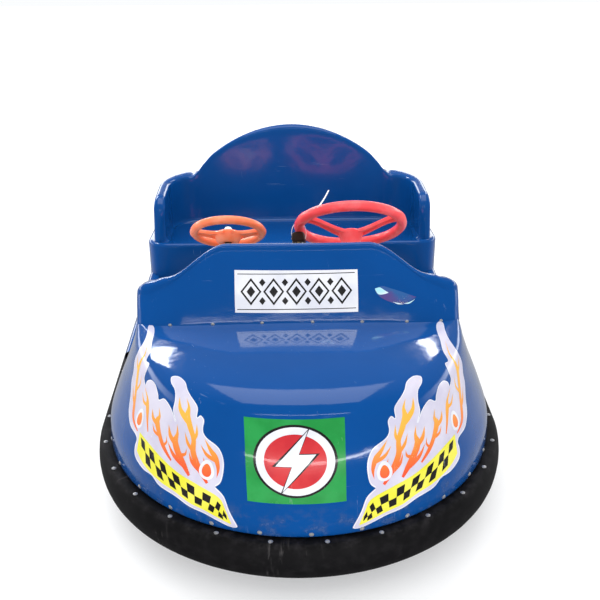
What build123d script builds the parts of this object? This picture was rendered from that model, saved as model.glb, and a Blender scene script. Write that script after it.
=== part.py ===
from build123d import *
import os
from math import cos, radians, sin, sqrt, tan

# Battery-powered bumper car for a driver and a child, with a glass-fibre body on a steel frame.
# Millimetres. +Z is up, the nose faces -Y and the driver sits on the +X side.
# The origin is on the floor, under the middle of the rubber bumper.

# ---- overall size ----
LENGTH = 1960
WIDTH = 1180
TAIL_CORNER = 250       # plan radius of the bumper's rear corners
NOSE_TIP = -LENGTH / 2
NOSE_Y = NOSE_TIP + WIDTH / 2     # centre of the half-round nose
TAIL_Y = LENGTH / 2
GAP = 0.3               # between curved faces of pieces that move on each other
SKIN = 5                # glass-fibre wall

# ---- bumper ring ----
RUBBER_THICK = 45
RUBBER_BOTTOM = 65
RUBBER_TOP = 190
RUBBER_BULGE_Z = 130
HOOP_WALL = 6
HOOP_BOTTOM = 75
HOOP_TOP = 225
HOOP_FLANGE = 30        # width of the hoop's lower flange

# ---- wheels ----
FRONT_WHEEL_R = 110
FRONT_WHEEL_W = 60
REAR_WHEEL_R = 100
REAR_WHEEL_W = 50
REAR_WHEEL_IN = 150     # wheel's middle, in from the bumper's outermost line
AXLE_R = 10
HUB_R = 55
TYRE_ROUND = 10
STEM_R = 20

# ---- frame ----
RAIL_X = 250
RAIL_W = 40
RAIL_H = 35
RAIL_BOTTOM = REAR_WHEEL_R + AXLE_R + 10
RAIL_TOP = RAIL_BOTTOM + RAIL_H
ARM_H = 30              # arms over the drive unit
POST_W = 30
PLATE = 3               # floor plate, bulkhead and battery tray
FLOOR_TOP = RAIL_TOP + PLATE

# ---- places along the car ----
SWIVEL_Y = NOSE_TIP + 360       # the front wheel swivels here
SEAM_Y = NOSE_TIP + 525         # the cowl stands on the hood here
BULKHEAD_Y = NOSE_TIP + 645
HOOD_BACK = NOSE_TIP + 860      # rear ends of the hood's and the cowl's side walls
BEVEL_Y = NOSE_TIP + 764.417    # the driver's column ends here, in the bevel box
BENCH_BACK = TAIL_Y - 175       # foot of the backrest
BENCH_FRONT = BENCH_BACK - 335
BATTERY_Y = TAIL_Y - 290
REAR_AXLE_Y = TAIL_Y - 320

# ---- body ----
BODY_INSET = RUBBER_THICK - SKIN    # body wall, in from the bumper's outermost line
SKIRT_BOTTOM = RUBBER_TOP + 3
SEAM_Z = 445            # where the side walls of hood and cowl meet
COWL_TOP = 712
BENCH_FRONT_Z = 402     # top of the bench at its front edge
BENCH_BACK_Z = 374      # top of the bench at the backrest
BENCH_CORNER = 90       # plan radius of the bench's front corners
WING_THICK = 46
WING_TOP = 562
WING_LEAN = 18          # the wings' inward lean between the bench and their top
BACK_TOP = 752
BACK_LEAN = 50          # the backrest's rearward lean between the bench and its top
TAIL_LEAN = 48          # the tail's forward lean over the same height
SILL_TOP = 270
SILL_WIDTH = 48

# ---- drive unit and steering ----
TYRE_CLEAR = 14         # tyre to the fork's crown
CROWN_THICK = 12
STEM_NECK = 46          # crown to the swivel plate
SWIVEL_PLATE = 8
BEARING_FLANGE = 14
SPROCKET_R = 43.5
SPROCKET_THICK = 8
BOSS_THICK = 16
BOSS_CLEAR = 7          # bearing to the sprocket's boss
CHAIN_THICK = 8
SHELF_RISE = 25         # sprocket's middle to the column shelf
SHELF_THICK = 10
BEVEL_HALF = 36
SHAFT_R = 11
OUTPUT_R = 10
COLUMN_TILT = 41        # column's lean from the vertical
DRIVER_X = 174
DRIVER_Z = 642.7
DRIVER_RIM_R = 162
DRIVER_TUBE_R = 16
DRIVER_DISH = 30        # hub's middle below the rim
CHILD_X = -212.5
CHILD_Z = 625
CHILD_RIM_R = 106.5
CHILD_TUBE_R = 13
CHILD_DISH = 12

CROWN_Z = 2 * FRONT_WHEEL_R + TYRE_CLEAR
ARM_TOP = CROWN_Z + CROWN_THICK + STEM_NECK
ARM_BOTTOM = ARM_TOP - ARM_H
PLATE_TOP = ARM_TOP + SWIVEL_PLATE
BEARING_TOP = PLATE_TOP + BEARING_FLANGE
SPROCKET_Z = BEARING_TOP + BOSS_CLEAR + BOSS_THICK / 2
SHELF_Z = SPROCKET_Z + SHELF_RISE
SHELF_TOP = SHELF_Z + SHELF_THICK
BEVEL_Z = SHELF_TOP + BEVEL_HALF
tilt = radians(COLUMN_TILT)
STEERING_Y = BEVEL_Y + tan(tilt) * (DRIVER_Z - BEVEL_Z)
DRIVER_WHEEL = (DRIVER_X, STEERING_Y, DRIVER_Z)
CHILD_WHEEL = (CHILD_X, STEERING_Y, CHILD_Z)

ALL_X = (-WIDTH, WIDTH)     # limits past both sides of the car
ALL_Y = (-LENGTH, LENGTH)
half_rail = RAIL_W / 2

os.makedirs("parts", exist_ok=True)


def save(name, shape):
    """Write one sub-part, named as its node."""
    shape.label = name
    export_step(shape, f"parts/{name}.step")


def box(x, y, z):
    """A block between three pairs of limits."""
    size = (x[1] - x[0], y[1] - y[0], z[1] - z[0])
    middle = (sum(x) / 2, sum(y) / 2, sum(z) / 2)
    return Pos(*middle) * Box(*size)


def span(a, b):
    """A pair of limits in rising order."""
    return (min(a, b), max(a, b))


def around(middle, width):
    """A pair of limits on both sides of a middle."""
    return (middle - width / 2, middle + width / 2)


def post(x, y, z, radius):
    """An upright cylinder between two heights."""
    return Pos(x, y, (z[0] + z[1]) / 2) * Cylinder(radius, z[1] - z[0])


def cross_bar(x, y, z, radius):
    """A cylinder along X between two X limits."""
    return Pos((x[0] + x[1]) / 2, y, z) * Rot(0, 90, 0) * Cylinder(radius, x[1] - x[0])


def plan(inset):
    """The car's outline from above, moved in from the bumper's outermost line."""
    half = WIDTH / 2 - inset
    tail = TAIL_Y - inset
    outline = Pos(0, NOSE_Y) * Circle(half)
    outline += Pos(0, (NOSE_Y + tail) / 2) * Rectangle(2 * half, tail - NOSE_Y)
    corners = outline.vertices().sort_by(Axis.Y)[-2:]
    return fillet(corners, TAIL_CORNER - inset)


def slab(inset, z):
    """The car's outline as a solid between two heights."""
    return extrude(Pos(0, 0, z[0]) * plan(inset), z[1] - z[0])


# ======== bumper ring ========
# A steel hoop carries the rubber. Each line of the table is one step of the rubber's
# section: how far in its outer face lies, at the bottom and at the top of the step.
RUBBER_STEPS = [
    # z_low, z_high, inset_low, inset_high
    (RUBBER_BOTTOM, RUBBER_BOTTOM + 15, 16, 6),
    (RUBBER_BOTTOM + 15, RUBBER_BULGE_Z, 6, 0),
    (RUBBER_BULGE_Z, RUBBER_TOP - 12, 0, 5),
    (RUBBER_TOP - 12, RUBBER_TOP, 5, 14),
]


def tapered(inset_low, inset_high, z_low, z_high):
    """The car's outline lofted between two insets."""
    sections = [Pos(0, 0, z_low) * plan(inset_low), Pos(0, 0, z_high) * plan(inset_high)]
    return loft(sections, ruled=True)


rubber = Part()
for z_low, z_high, inset_low, inset_high in RUBBER_STEPS:
    rubber += tapered(inset_low, inset_high, z_low, z_high)
rubber -= slab(RUBBER_THICK, (0, HOOP_TOP))
save("rubber_bumper", rubber)

HOOP_IN = RUBBER_THICK + HOOP_WALL
hoop_web = slab(RUBBER_THICK, (HOOP_BOTTOM, HOOP_TOP)) - slab(HOOP_IN, (0, HOOP_TOP))
flange_top = HOOP_BOTTOM + HOOP_WALL
flange = slab(RUBBER_THICK, (HOOP_BOTTOM, flange_top))
flange -= slab(RUBBER_THICK + HOOP_FLANGE, (0, flange_top))
save("bumper_hoop", hoop_web + flange)
inside_hoop = slab(HOOP_IN, (0, HOOP_TOP))

# ======== frame ========
# Two rails and three cross members lie inside the hoop. Posts rise at the bulkhead, and two
# arms run forward from them over the drive unit to feet on the hoop's flange.
flange_r = WIDTH / 2 - RUBBER_THICK - HOOP_FLANGE
FOOT_SETBACK = 5        # foot's front face behind the flange's edge
ARM_END_Y = NOSE_Y - sqrt(flange_r ** 2 - RAIL_X ** 2) + FOOT_SETBACK
FRONT_CROSS_Y = BULKHEAD_Y + half_rail
BENCH_CROSS_Y = BENCH_FRONT + RAIL_W
TAIL_CROSS_Y = TAIL_Y - RUBBER_THICK - 2 * RAIL_W
frame = Part()
for cross_y in (FRONT_CROSS_Y, BENCH_CROSS_Y, TAIL_CROSS_Y):
    frame += box(ALL_X, around(cross_y, RAIL_W), (RAIL_BOTTOM, RAIL_TOP))
for side in (-1, 1):
    frame += box(around(side * RAIL_X, RAIL_W), (BULKHEAD_Y, TAIL_Y), (RAIL_BOTTOM, RAIL_TOP))
frame &= inside_hoop
for side in (-1, 1):
    rail_x = around(side * RAIL_X, RAIL_W)
    frame += box(rail_x, (BULKHEAD_Y, BULKHEAD_Y + RAIL_W), (RAIL_TOP, SHELF_Z))
    frame += box(rail_x, (ARM_END_Y, BULKHEAD_Y), (ARM_BOTTOM, ARM_TOP))
    foot_x = around(side * RAIL_X, POST_W)
    frame += box(foot_x, (ARM_END_Y, ARM_END_Y + POST_W), (flange_top, ARM_BOTTOM))
    frame += box(foot_x, (NOSE_TIP, ARM_END_Y), (HOOP_TOP - POST_W, HOOP_TOP)) & inside_hoop
save("chassis_frame", frame)

# ======== floor ========
floor = slab(HOOP_IN, (RAIL_TOP, FLOOR_TOP))
floor &= box(ALL_X, (BULKHEAD_Y, BENCH_FRONT), (0, HOOP_TOP))
for side in (-1, 1):
    rail_x = around(side * RAIL_X, RAIL_W)
    floor -= box(rail_x, (BULKHEAD_Y, BULKHEAD_Y + RAIL_W), (RAIL_TOP, FLOOR_TOP))
save("floor_pan", floor)

# ======== hood ========
# Each line of the table is one level of the hood: how far in from the bumper's outermost
# line its sides and its front lie.
HOOD_LEVELS = [
    # z, side_inset, front_inset
    (SKIRT_BOTTOM, BODY_INSET, BODY_INSET),
    (260, BODY_INSET - 2, BODY_INSET - 4),
    (350, BODY_INSET + 20, BODY_INSET + 2),
    (SEAM_Z, BODY_INSET + 74, BODY_INSET + 24),
    (510, BODY_INSET + 126, BODY_INSET + 72),
    (548, BODY_INSET + 210, BODY_INSET + 170),
]


def hood_level(z, side_inset, front_inset):
    """One level of the hood: an arc round the nose and straight sides behind it."""
    half = WIDTH / 2 - side_inset
    front = NOSE_TIP + front_inset
    nose = ThreePointArc((-half, NOSE_Y), (0, front), (half, NOSE_Y))
    sides = Polyline((half, NOSE_Y), (half, HOOD_BACK), (-half, HOOD_BACK), (-half, NOSE_Y))
    return Pos(0, 0, z) * make_face([nose, *sides.edges()])


def hood_form(wall):
    """The hood's form as a solid, moved in by a wall."""
    return loft([hood_level(z, side + wall, front + wall) for z, side, front in HOOD_LEVELS])


hood_outside = hood_form(0)
hood = hood_outside - Pos(0, 0, -SKIN) * hood_form(SKIN)
hood -= box(ALL_X, (SEAM_Y, HOOD_BACK), (SEAM_Z, COWL_TOP))
hood -= box(ALL_X, (HOOD_BACK - SKIN, HOOD_BACK), (0, COWL_TOP))
save("front_hood", hood)

# A bulkhead inside it shields the footwell from the drive unit.
bulkhead = slab(HOOP_IN, (RAIL_BOTTOM, ARM_BOTTOM))
bulkhead &= box(ALL_X, (BULKHEAD_Y - PLATE, BULKHEAD_Y), (0, ARM_BOTTOM))
save("bulkhead", bulkhead - hood)

# ======== cowl ========
# Each line of the table is one level of the cowl: how far in its sides lie, and how far
# its front face lies behind the seam.
COWL_CORNER = 110
COWL_LEVELS = [
    # z, side_inset, behind_seam
    (SEAM_Z, BODY_INSET + 74, -50),
    (530, BODY_INSET + 94, -8),
    (620, BODY_INSET + 90, 56),
    (COWL_TOP, BODY_INSET + 98, 122),
]


def cowl_form(wall):
    """The cowl's form as a solid, moved in by a wall: a front with two round corners."""
    levels = []
    for z, side_inset, behind_seam in COWL_LEVELS:
        front = SEAM_Y + behind_seam + wall
        half = WIDTH / 2 - side_inset - wall
        face = Pos(0, (front + HOOD_BACK) / 2) * Rectangle(2 * half, HOOD_BACK - front)
        front_corners = face.vertices().sort_by(Axis.Y)[:2]
        levels.append(Pos(0, 0, z) * fillet(front_corners, COWL_CORNER - wall))
    return loft(levels)


cowl_inside = cowl_form(SKIN)
cowl = cowl_form(0) - cowl_inside
cowl -= box(ALL_X, (HOOD_BACK - SKIN, HOOD_BACK), (0, COWL_TOP))
cowl -= hood_outside & box(ALL_X, (-LENGTH, SEAM_Y), (0, COWL_TOP))

# The cowl's top edge seen from the front: a flat top that sweeps down to the shoulders.
COWL_FLAT = 215
COWL_SHOULDER_X = 365
COWL_SHOULDER_Z = 628
COWL_EAR_Z = 598
top_edge = Polyline(
    (-WIDTH, SEAM_Z),
    (-WIDTH, COWL_EAR_Z),
    (-COWL_SHOULDER_X, COWL_SHOULDER_Z),
    (-COWL_FLAT, COWL_TOP),
    (COWL_FLAT, COWL_TOP),
    (COWL_SHOULDER_X, COWL_SHOULDER_Z),
    (WIDTH, COWL_EAR_Z),
    (WIDTH, SEAM_Z),
    close=True,
)
under_top_edge = extrude(Plane.XZ * make_face(top_edge), LENGTH, both=True)

# Its side walls seen from the side: they fall towards the entry.
EAR_BACK = SEAM_Y + 130     # the walls' level top ends here
SLOPE_Y = HOOD_BACK - 60    # and the fall steepens here
side_edge = Polyline(
    (-LENGTH, SEAM_Z),
    (-LENGTH, COWL_TOP),
    (EAR_BACK, COWL_TOP),
    (EAR_BACK, COWL_SHOULDER_Z),
    (SLOPE_Y, COWL_SHOULDER_Z - 70),
    (HOOD_BACK, COWL_SHOULDER_Z - 130),
    (HOOD_BACK, SEAM_Z),
    close=True,
)
under_side_edge = extrude(Plane.YZ * make_face(side_edge), WIDTH, both=True)
cowl &= under_top_edge & under_side_edge
save("dash_cowl", cowl)

# ======== seat ========
# The bench's top is one sloping plane. Its pan and the wall round it lie on the base.
bench_slope = (BENCH_BACK_Z - BENCH_FRONT_Z) / (BENCH_BACK - BENCH_FRONT)


def bench_z(y):
    """Height of the bench's top plane."""
    return BENCH_FRONT_Z + bench_slope * (y - BENCH_FRONT)


def under_bench(drop):
    """Everything below the bench's top plane, moved down."""
    y0 = HOOD_BACK
    y1 = TAIL_Y
    top = [(y0, bench_z(y0) - drop), (y1, bench_z(y1) - drop)]
    profile = Polyline((y0, 0), *top, (y1, 0), close=True)
    return extrude(Plane.YZ * make_face(profile), WIDTH, both=True)


def seat_block(inset, z):
    """The seat's outline from above, with rounded front corners, between two heights."""
    front = BENCH_FRONT + inset - BODY_INSET
    outline = plan(inset) & Pos(0, front + LENGTH / 2) * Rectangle(WIDTH, LENGTH)
    corners = outline.vertices().sort_by(Axis.Y)[:2]
    face = fillet(corners, BENCH_CORNER + BODY_INSET - inset)
    return extrude(Pos(0, 0, z[0]) * face, z[1] - z[0])


seat_outside = seat_block(BODY_INSET, (SKIRT_BOTTOM, WING_TOP))
seat_inside = seat_block(BODY_INSET + SKIN, (0, WING_TOP))
save("seat_base", ((seat_outside - seat_inside) & under_bench(SKIN)) - hoop_web)

# The wings and the backrest are one wall, as thick as both its skins and open to the front.
# Its inner sides are upright, and its outer sides and its front edges lean away from the mould.
WING_FRONT = BENCH_FRONT + 22
WING_RAKE = 40          # rearward lean of the wings' front edges, up to the backrest's top
BACK_CORNER = 120
tail_face = TAIL_Y - BODY_INSET
tail_corner = TAIL_CORNER - BODY_INSET
wall_low = BENCH_BACK_Z - 20    # the wall starts below the bench and is cut to its pan
wall_rise = BACK_TOP - wall_low
half_low = WIDTH / 2 - BODY_INSET
half_in = half_low - WING_LEAN - WING_THICK
side_lean = WING_LEAN * (BACK_TOP - BENCH_FRONT_Z) / (WING_TOP - BENCH_FRONT_Z)


def wing_front(z):
    """Where the wings' front edges lie at a height."""
    return WING_FRONT + WING_RAKE * (z - wall_low) / wall_rise


def wall_level(z, half, front, rear, corner):
    """An outline with two rounded rear corners, at a height."""
    face = Pos(0, (front + rear) / 2) * Rectangle(2 * half, rear - front)
    return Pos(0, 0, z) * fillet(face.vertices().sort_by(Axis.Y)[-2:], corner)


outer_levels = []
for z, leaned in ((wall_low, 0), (BENCH_FRONT_Z, 0), (BACK_TOP, 1)):
    half = half_low - side_lean * leaned
    rear = tail_face - TAIL_LEAN * leaned
    outer_levels.append(wall_level(z, half, wing_front(z), rear, tail_corner))
surround = loft(outer_levels, ruled=True)
surround -= loft([
    wall_level(wall_low, half_in, HOOD_BACK, BENCH_BACK, BACK_CORNER),
    wall_level(BACK_TOP, half_in, HOOD_BACK, BENCH_BACK + BACK_LEAN, BACK_CORNER),
], ruled=True)
surround -= under_bench(SKIN)

# The top edge seen from the front: level wings, a hollow, and the backrest's arch.
ARCH_HALF = 315
ARCH_FOOT_Z = 625
HOLLOW_X = 405
arch = ThreePointArc((-ARCH_HALF, ARCH_FOOT_Z), (0, BACK_TOP), (ARCH_HALF, ARCH_FOOT_Z))
below = Polyline(
    (ARCH_HALF, ARCH_FOOT_Z),
    (HOLLOW_X, WING_TOP),
    (WIDTH / 2, WING_TOP),
    (WIDTH / 2, 0),
    (-WIDTH / 2, 0),
    (-WIDTH / 2, WING_TOP),
    (-HOLLOW_X, WING_TOP),
    (-ARCH_HALF, ARCH_FOOT_Z),
)
surround &= extrude(Plane.XZ * make_face([arch, *below.edges()]), LENGTH, both=True)

# Seen from the side, the wings' front corners are cut round.
WING_ROUND = 75
round_z = WING_TOP - WING_ROUND
round_y = wing_front(round_z) + WING_ROUND
wing_corner = box(ALL_X, (WING_FRONT, round_y), (round_z, WING_TOP))
surround -= wing_corner - cross_bar(ALL_X, round_y, round_z, WING_ROUND)
save("seat_surround", surround)
save("seat_pan", (seat_outside & under_bench(0)) - under_bench(SKIN) - surround)

# ======== sills ========
# A hollow sill runs from the hood to the seat on each side, over the hoop.
sill_y = (HOOD_BACK, BENCH_FRONT + BENCH_CORNER)
for name, side in (("side_sill_left", 1), ("side_sill_right", -1)):
    outer = side * (WIDTH / 2 - BODY_INSET)
    inner = outer - side * SILL_WIDTH
    hollow = (outer - side * SKIN, inner + side * SKIN)
    sill = box(span(outer, inner), sill_y, (SKIRT_BOTTOM, SILL_TOP))
    sill += box(span(hollow[1], inner), sill_y, (FLOOR_TOP, SKIRT_BOTTOM))
    sill -= box(span(*hollow), sill_y, (0, SILL_TOP - SKIN))
    sill -= seat_block(BODY_INSET, (0, WING_TOP))
    save(name, sill)

# ======== batteries and controller ========
BATTERY = (330, 172, 200)
BATTERY_GAP = 20        # between the two batteries
TRAY_EDGE = 15          # tray past the batteries, front and back
battery_pitch = BATTERY[0] + BATTERY_GAP
tray_y = around(BATTERY_Y, BATTERY[1] + 2 * TRAY_EDGE)
save("battery_tray", box(around(0, 2 * battery_pitch), tray_y, (RAIL_TOP, FLOOR_TOP)))
for name, side in (("battery_left", 1), ("battery_right", -1)):
    place = Pos(side * battery_pitch / 2, BATTERY_Y, FLOOR_TOP + BATTERY[2] / 2)
    save(name, place * Box(*BATTERY))

CONTROL_BOX = (220, 60, 123)
CONTROL_SETBACK = 20    # behind the bench's front edge
control_y = BENCH_FRONT + CONTROL_SETBACK + CONTROL_BOX[1] / 2
save("control_box", Pos(0, control_y, RAIL_TOP + CONTROL_BOX[2] / 2) * Box(*CONTROL_BOX))

# The charging socket is a short round housing with a flange on the base's rear face.
SOCKET_R = 14
SOCKET_WALL = 6
SOCKET_Z = 300
SOCKET_DEPTH = 26
SOCKET_FLOOR = 4
SOCKET_FLANGE = 16      # flange past the bore
FLANGE_THICK = 4


def tail_disc(radius, start, end):
    """A disc on the tail's face, between two distances behind it."""
    return Pos(0, tail_face + (start + end) / 2, SOCKET_Z) * Rot(90, 0, 0) * Cylinder(radius, end - start)


socket_end = SOCKET_FLOOR + SOCKET_DEPTH
socket = tail_disc(SOCKET_R + SOCKET_WALL, 0, socket_end)
socket += tail_disc(SOCKET_R + SOCKET_FLANGE, 0, FLANGE_THICK)
socket -= tail_disc(SOCKET_R, SOCKET_FLOOR, socket_end)
save("charging_socket", socket)

# ======== rear axle and wheels ========
AXLE_END = 12           # axle past the wheels' outer faces
BRACKET_THICK = 10
BRACKET_LENGTH = 70
BRACKET_DROP = 20       # brackets below the axle's middle
rear_wheel_x = WIDTH / 2 - REAR_WHEEL_IN
rear_axle_x = around(0, 2 * rear_wheel_x + REAR_WHEEL_W + 2 * AXLE_END)
save("rear_axle", cross_bar(rear_axle_x, REAR_AXLE_Y, REAR_WHEEL_R, AXLE_R))
brackets = Part()
for side in (-1, 1):
    plate_x = around(side * RAIL_X, BRACKET_THICK)
    plate_y = around(REAR_AXLE_Y, BRACKET_LENGTH)
    plate = box(plate_x, plate_y, (REAR_WHEEL_R - BRACKET_DROP, RAIL_BOTTOM))
    brackets += plate - cross_bar(plate_x, REAR_AXLE_Y, REAR_WHEEL_R, AXLE_R)
save("rear_axle_brackets", brackets)


def tyre(x, y, radius, width):
    """A solid tyre with rounded shoulders."""
    ring = cross_bar(around(x, width), y, radius, radius)
    ring = fillet(ring.edges().filter_by(GeomType.CIRCLE), TYRE_ROUND)
    return ring - cross_bar(around(x, width), y, radius, HUB_R)


HUB_WEB = 12
HUB_RIM = 8
HUB_BOSS = 10           # boss past the axle


def hub(x, y, radius, width):
    """A wheel's hub: a rim ring, a web and a bored boss."""
    whole = around(x, width)
    body = cross_bar(whole, y, radius, HUB_R)
    body -= cross_bar(whole, y, radius, HUB_R - HUB_RIM) - cross_bar(around(x, HUB_WEB), y, radius, HUB_R)
    body += cross_bar(whole, y, radius, AXLE_R + HUB_BOSS)
    return body - cross_bar(whole, y, radius, AXLE_R + GAP)


for name, side in (("left", 1), ("right", -1)):
    wheel = (side * rear_wheel_x, REAR_AXLE_Y, REAR_WHEEL_R, REAR_WHEEL_W)
    save(f"rear_tyre_{name}", tyre(*wheel))
    save(f"rear_hub_{name}", hub(*wheel))

# ======== front drive unit ========
# A fork on an upright stem holds the driven wheel, with the gearbox and motor at its side.
FORK_GAP = 6            # between the tyre and the fork's cheeks
CHEEK = 8
CHEEK_LENGTH = 60
CHEEK_DROP = 25         # cheeks below the axle's middle
CROWN_LENGTH = 80
NUT = 6                 # axle past the free cheek
cheek_in = FRONT_WHEEL_W / 2 + FORK_GAP
cheek_out = cheek_in + CHEEK
front_wheel = (0, SWIVEL_Y, FRONT_WHEEL_R, FRONT_WHEEL_W)
save("front_tyre", tyre(*front_wheel))
save("front_hub", hub(*front_wheel))

crown_top = CROWN_Z + CROWN_THICK
stem_top = SPROCKET_Z + BOSS_THICK
crown_y = around(SWIVEL_Y, CROWN_LENGTH)
cheek_y = around(SWIVEL_Y, CHEEK_LENGTH)
fork = box((-cheek_out, cheek_out), crown_y, (CROWN_Z, crown_top))
for side in (-1, 1):
    cheek_x = span(side * cheek_in, side * cheek_out)
    fork += box(cheek_x, cheek_y, (FRONT_WHEEL_R - CHEEK_DROP, CROWN_Z))
fork += post(0, SWIVEL_Y, (crown_top, stem_top), STEM_R)
fork -= cross_bar((-cheek_out, cheek_out), SWIVEL_Y, FRONT_WHEEL_R, AXLE_R)
save("drive_fork", fork)
save("front_axle", cross_bar((-cheek_out - NUT, cheek_out), SWIVEL_Y, FRONT_WHEEL_R, AXLE_R))

GEARBOX = (45, 116, 124)
GEARBOX_DROP = 32       # gearbox below the axle
GEARBOX_ROUND = 20
MOTOR_R = 48
MOTOR_LENGTH = 165
MOTOR_RISE = 25         # motor's axis above the wheel's
MOTOR_ROUND = 8
gearbox_x = (cheek_out, cheek_out + GEARBOX[0])
gearbox_low = FRONT_WHEEL_R - GEARBOX_DROP
gearbox_z = (gearbox_low, gearbox_low + GEARBOX[2])
gearbox = box(gearbox_x, around(SWIVEL_Y, GEARBOX[1]), gearbox_z)
save("drive_gearbox", fillet(gearbox.edges().filter_by(Axis.X), GEARBOX_ROUND))
motor_x = (gearbox_x[1], gearbox_x[1] + MOTOR_LENGTH)
motor = cross_bar(motor_x, SWIVEL_Y, FRONT_WHEEL_R + MOTOR_RISE, MOTOR_R)
motor_end = motor.edges().filter_by(GeomType.CIRCLE).sort_by(Axis.X)[-1]
save("drive_motor", fillet(motor_end, MOTOR_ROUND))

# The stem turns in a flanged bearing on a plate across the frame's arms.
BEARING_WALL = 8
BEARING_DROP = 6        # bearing's sleeve below the plate
BEARING_RIM = 30        # flange past the stem
PLATE_LENGTH = 120
sleeve_bottom = ARM_TOP - BEARING_DROP
swivel_plate = box(around(0, 2 * RAIL_X + RAIL_W), around(SWIVEL_Y, PLATE_LENGTH), (ARM_TOP, PLATE_TOP))
swivel_plate -= post(0, SWIVEL_Y, (ARM_TOP, PLATE_TOP), STEM_R + BEARING_WALL)
save("swivel_plate", swivel_plate)
bearing = post(0, SWIVEL_Y, (PLATE_TOP, BEARING_TOP), STEM_R + BEARING_RIM)
bearing += post(0, SWIVEL_Y, (sleeve_bottom, PLATE_TOP), STEM_R + BEARING_WALL)
bearing -= post(0, SWIVEL_Y, (sleeve_bottom, BEARING_TOP), STEM_R + GAP)
save("swivel_bearing", bearing)


def sprocket(x, y, bore):
    """A chain wheel with a boss, bored for its shaft."""
    boss_z = around(SPROCKET_Z, BOSS_THICK)
    disc = post(x, y, around(SPROCKET_Z, SPROCKET_THICK), SPROCKET_R)
    disc += post(x, y, boss_z, bore + BEARING_WALL + 1)
    return disc - post(x, y, boss_z, bore)


save("fork_sprocket", sprocket(0, SWIVEL_Y, STEM_R))

# ======== steering column ========
def on_column(wheel, distance):
    """A point on a column, a distance down from its steering wheel's centre."""
    return (wheel[0], wheel[1] - sin(tilt) * distance, wheel[2] - cos(tilt) * distance)


def along_column(wheel, start, end, radius):
    """A cylinder on a column's axis between two distances below the wheel."""
    middle = on_column(wheel, (start + end) / 2)
    return Pos(*middle) * Rot(-COLUMN_TILT, 0, 0) * Cylinder(radius, end - start)


BEVEL_ROUND = 10
BEVEL_BOSS = 62         # boss's upper end, from the box's centre
BEVEL_BOSS_FOOT = 20    # boss's lower end, inside the box
SHAFT_FOOT = 8          # the shaft ends this far above the box's centre
BORE_FOOT = 5
BOSS_WALL = 9
OUTPUT_TOP = 20         # the output's upper end, below the box's centre
OUTPUT_BORE = 15
bevel_drop = (DRIVER_Z - BEVEL_Z) / cos(tilt)
bevel_box = Pos(DRIVER_X, BEVEL_Y, BEVEL_Z) * Box(2 * BEVEL_HALF, 2 * BEVEL_HALF, 2 * BEVEL_HALF)
bevel_box = fillet(bevel_box.edges(), BEVEL_ROUND)
boss_end = bevel_drop - BEVEL_BOSS
bevel_box += along_column(DRIVER_WHEEL, boss_end, bevel_drop - BEVEL_BOSS_FOOT, SHAFT_R + BOSS_WALL)
bevel_box -= along_column(DRIVER_WHEEL, boss_end, bevel_drop - BORE_FOOT, SHAFT_R + GAP)
bevel_box -= post(DRIVER_X, BEVEL_Y, (SHELF_TOP, BEVEL_Z - OUTPUT_BORE), OUTPUT_R + GAP)
save("bevel_box", bevel_box)

SHELF_PAD = 84          # width of the shelf's pads under the columns
OUTPUT_CLEAR = 4
shelf_z = (SHELF_Z, SHELF_TOP)
pad_y = (BULKHEAD_Y, BEVEL_Y + BEVEL_HALF)
shelf = box(around(0, 2 * RAIL_X + RAIL_W), (BULKHEAD_Y, BULKHEAD_Y + RAIL_W), shelf_z)
for wheel in (DRIVER_WHEEL, CHILD_WHEEL):
    shelf += box(around(wheel[0], SHELF_PAD), pad_y, shelf_z)
shelf -= post(DRIVER_X, BEVEL_Y, shelf_z, OUTPUT_R + OUTPUT_CLEAR)
save("column_shelf", shelf)

output = sprocket(DRIVER_X, BEVEL_Y, OUTPUT_R)
output_z = (SPROCKET_Z - BOSS_THICK / 2, BEVEL_Z - OUTPUT_TOP)
output += post(DRIVER_X, BEVEL_Y, output_z, OUTPUT_R)
save("output_sprocket", output)

# One closed chain lies round both sprockets.
CHAIN_CLEAR = 1
chain_in = SPROCKET_R + CHAIN_CLEAR
chain_line = Vector(DRIVER_X, BEVEL_Y - SWIVEL_Y, 0)
chain_angle = chain_line.get_signed_angle(Vector(1, 0, 0), Vector(0, 0, -1))
chain_middle = (DRIVER_X / 2, (BEVEL_Y + SWIVEL_Y) / 2)


def belt(radius):
    """A slab at chain height whose outline goes round both sprockets."""
    face = SlotCenterToCenter(chain_line.length, 2 * radius)
    face = Pos(*chain_middle, SPROCKET_Z - CHAIN_THICK / 2) * Rot(0, 0, chain_angle) * face
    return extrude(face, CHAIN_THICK)


save("steering_chain", belt(chain_in + CHAIN_THICK) - belt(chain_in))

# The dash panel is square to both columns, above the bevel box.
PANEL_CLEAR = 34        # bevel box's boss to the panel
PANEL_UP = 300
PANEL_DOWN = 40
COLUMN_WALL = 7
COLUMN_TOP = 60         # the driver's column starts this far below the wheel
COLUMN_CLEAR = 2
column_r = SHAFT_R + COLUMN_WALL
panel_drop = boss_end - PANEL_CLEAR
panel_middle = on_column((0, STEERING_Y, DRIVER_Z), panel_drop)
panel = Box(WIDTH, PANEL_UP + PANEL_DOWN, SKIN)
panel = Pos(*panel_middle) * Rot(-COLUMN_TILT, 0, 0) * Pos(0, (PANEL_DOWN - PANEL_UP) / 2, 0) * panel
child_panel_drop = panel_drop - (DRIVER_Z - CHILD_Z) * cos(tilt)
panel -= along_column(DRIVER_WHEEL, panel_drop - COLUMN_WALL, panel_drop + COLUMN_WALL, column_r)
panel -= along_column(CHILD_WHEEL, child_panel_drop - COLUMN_WALL, child_panel_drop + COLUMN_WALL, column_r)
save("dash_panel", panel & cowl_inside & under_top_edge)

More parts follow.
